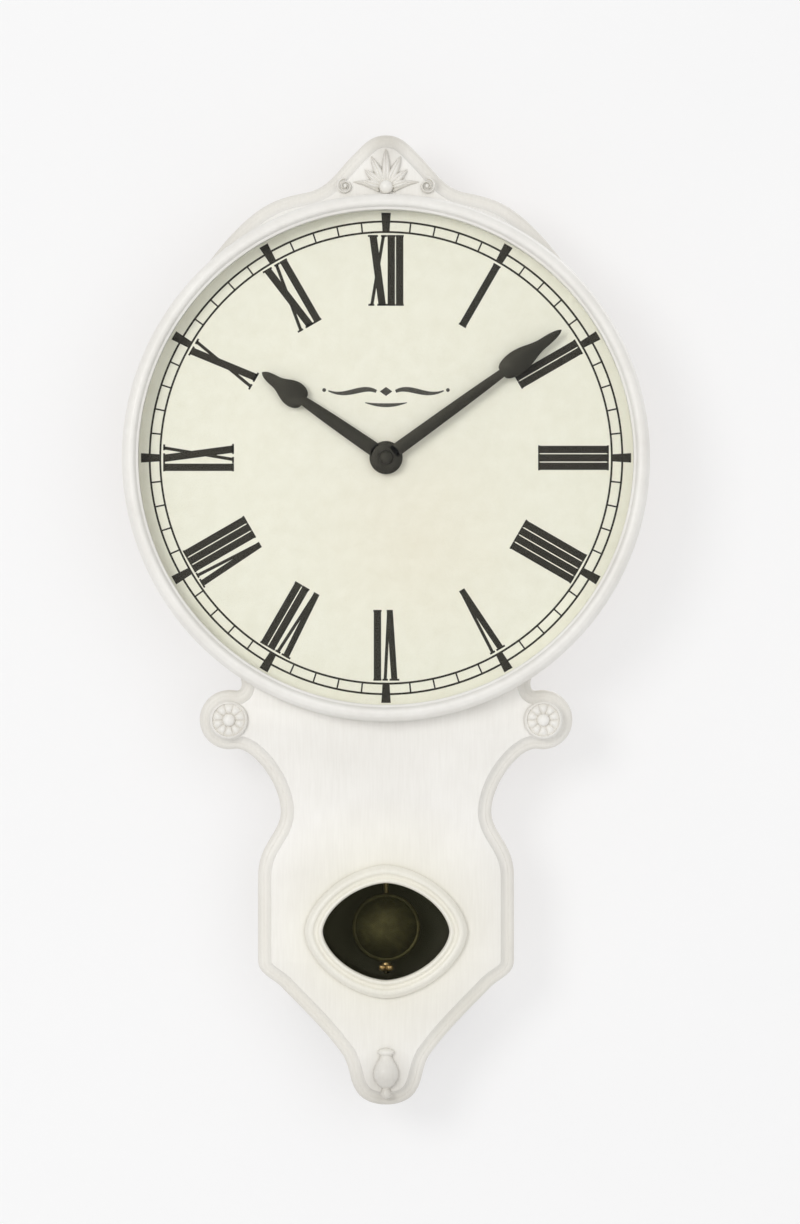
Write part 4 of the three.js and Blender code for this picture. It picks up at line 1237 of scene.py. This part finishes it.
def staged_wall():
    """A pale wall behind the clock. Its back is clear, so that it hides nothing from behind."""
    s = Surface("studio_wall", Emission_Color=(1, 1, 1, 1), Emission_Strength=0.54)
    s.mottled(300, 2, (0.385, 0.385, 0.388), (0.395, 0.395, 0.398))
    s.rough(s.noise(20, 2), 0.85, 0.95)
    s.bump(s.noise(2.5, 2), 0.02, 0.3)
    mix = s.node("MixShader")
    s.links.new(s.node("NewGeometry").outputs["Backfacing"], mix.inputs[0])
    s.links.new(s.shader.outputs["BSDF"], mix.inputs[1])
    s.links.new(s.node("BsdfTransparent").outputs["BSDF"], mix.inputs[2])
    s.links.new(mix.outputs["Shader"], s.nodes["Material Output"].inputs["Surface"])
    half, top = 0.72, 0.85
    gap = 0.0004  # from the clock's rearmost faces
    corners = [(-half, gap, FLOOR_Z), (half, gap, FLOOR_Z), (half, gap, top), (-half, gap, top)]
    wall = sheet("studio_wall", corners, s.material)
    wall.visible_shadow = False


def staged_floor():
    s = Surface("studio_floor")
    s.mottled(200, 2, (0.75, 0.75, 0.755), (0.765, 0.765, 0.77))
    s.rough(s.noise(30, 2), 0.7, 0.85)
    s.bump(s.noise(3, 2), 0.02, 0.3)
    half, z = 20, FLOOR_Z
    corners = [(-half, -half, z), (half, -half, z), (half, half, z), (-half, half, z)]
    floor = sheet("studio_floor", corners, s.material)


def area_light(name, spot, aim, size, power, colour=(1, 1, 1)):
    """A round soft light. Places and its size are in metres."""
    data = bpy.data.lights.new(name, "AREA")
    data.shape = "DISK"
    data.size = size
    data.energy = power
    data.color = colour
    lamp = linked(name, data)
    lamp.location = spot
    lamp.rotation_euler = (Vector(aim) - Vector(spot)).to_track_quat("-Z", "Y").to_euler()
    return lamp


def lights():
    clock = (0, 0, DIAL - 0.09)
    key = area_light("key_left", (-1.1, -2.3, DIAL + 0.5), clock, 1.0, 17, (1.0, 0.99, 0.97))
    fill = area_light("fill_front", (0.9, -2.6, DIAL + 0.2), clock, 2.2, 13)
    fill.visible_glossy = False
    for lamp in (key, fill):
        lamp.visible_transmission = False
    area_light("rear_soft", (0.8, 2.2, DIAL + 1.0), clock, 1.6, 24)
    world = bpy.data.worlds.new("studio")
    bpy.context.scene.world = world
    world.use_nodes = True
    sky = world.node_tree.nodes["Background"].inputs
    sky["Color"].default_value = (0.96, 0.96, 0.96, 1)
    sky["Strength"].default_value = 0.66
    bpy.context.scene.view_settings.view_transform = "Standard"


FRAME_HIGH_MM = 700.7  # what the picture takes in from top to bottom, at the front board
VIEW_X_MM, VIEW_Z_MM = 8.0, -88.2  # where the camera points, about the dial's centre
CAMERA_AWAY = 3.0  # metres from the wall
SENSOR = 36  # along the picture's longer side


def camera():
    data = bpy.data.cameras.new("camera")
    data.sensor_width = SENSOR
    data.lens = SENSOR * (CAMERA_AWAY - BOARD_FRONT * MM) / (FRAME_HIGH_MM * MM)
    made = linked("camera", data)
    made.location = (VIEW_X_MM * MM, -CAMERA_AWAY, DIAL + VIEW_Z_MM * MM)
    made.rotation_euler = (pi / 2, 0, 0)
    bpy.context.scene.camera = made


# ---- Assembly ----
camera()
lights()
staged_wall()
staged_floor()
plain_nodes()
screws()
front_board()
crest()
rosette("ear_rosette_left_carved", "ear_rosette_left")
rosette("ear_rosette_right_carved", "ear_rosette_right")
pendant()
window_moulding()
window_outline = oval(half_width("window_glass"), half_height("window_glass"))
pane("window_pane", "window_glass", window_outline, WINDOW_GLASS)
bezel()
dial()
spacer()
numerals()
minute_track()
flourish()
pane("dial_pane", "dial_glass", round_outline(half_width("dial_glass")), DIAL_GLASS)
hand("hour_hand_spade", "hour_hand", "hour_train", 1.0, 9.5, 3.1)
hand("minute_hand_spade", "minute_hand", "minute_train", 0.9, 8.2, 1.6)
hand_cap()
case_boards()
movement_moulding()
battery()
pendulum_rod()
bob()
rating_nut()
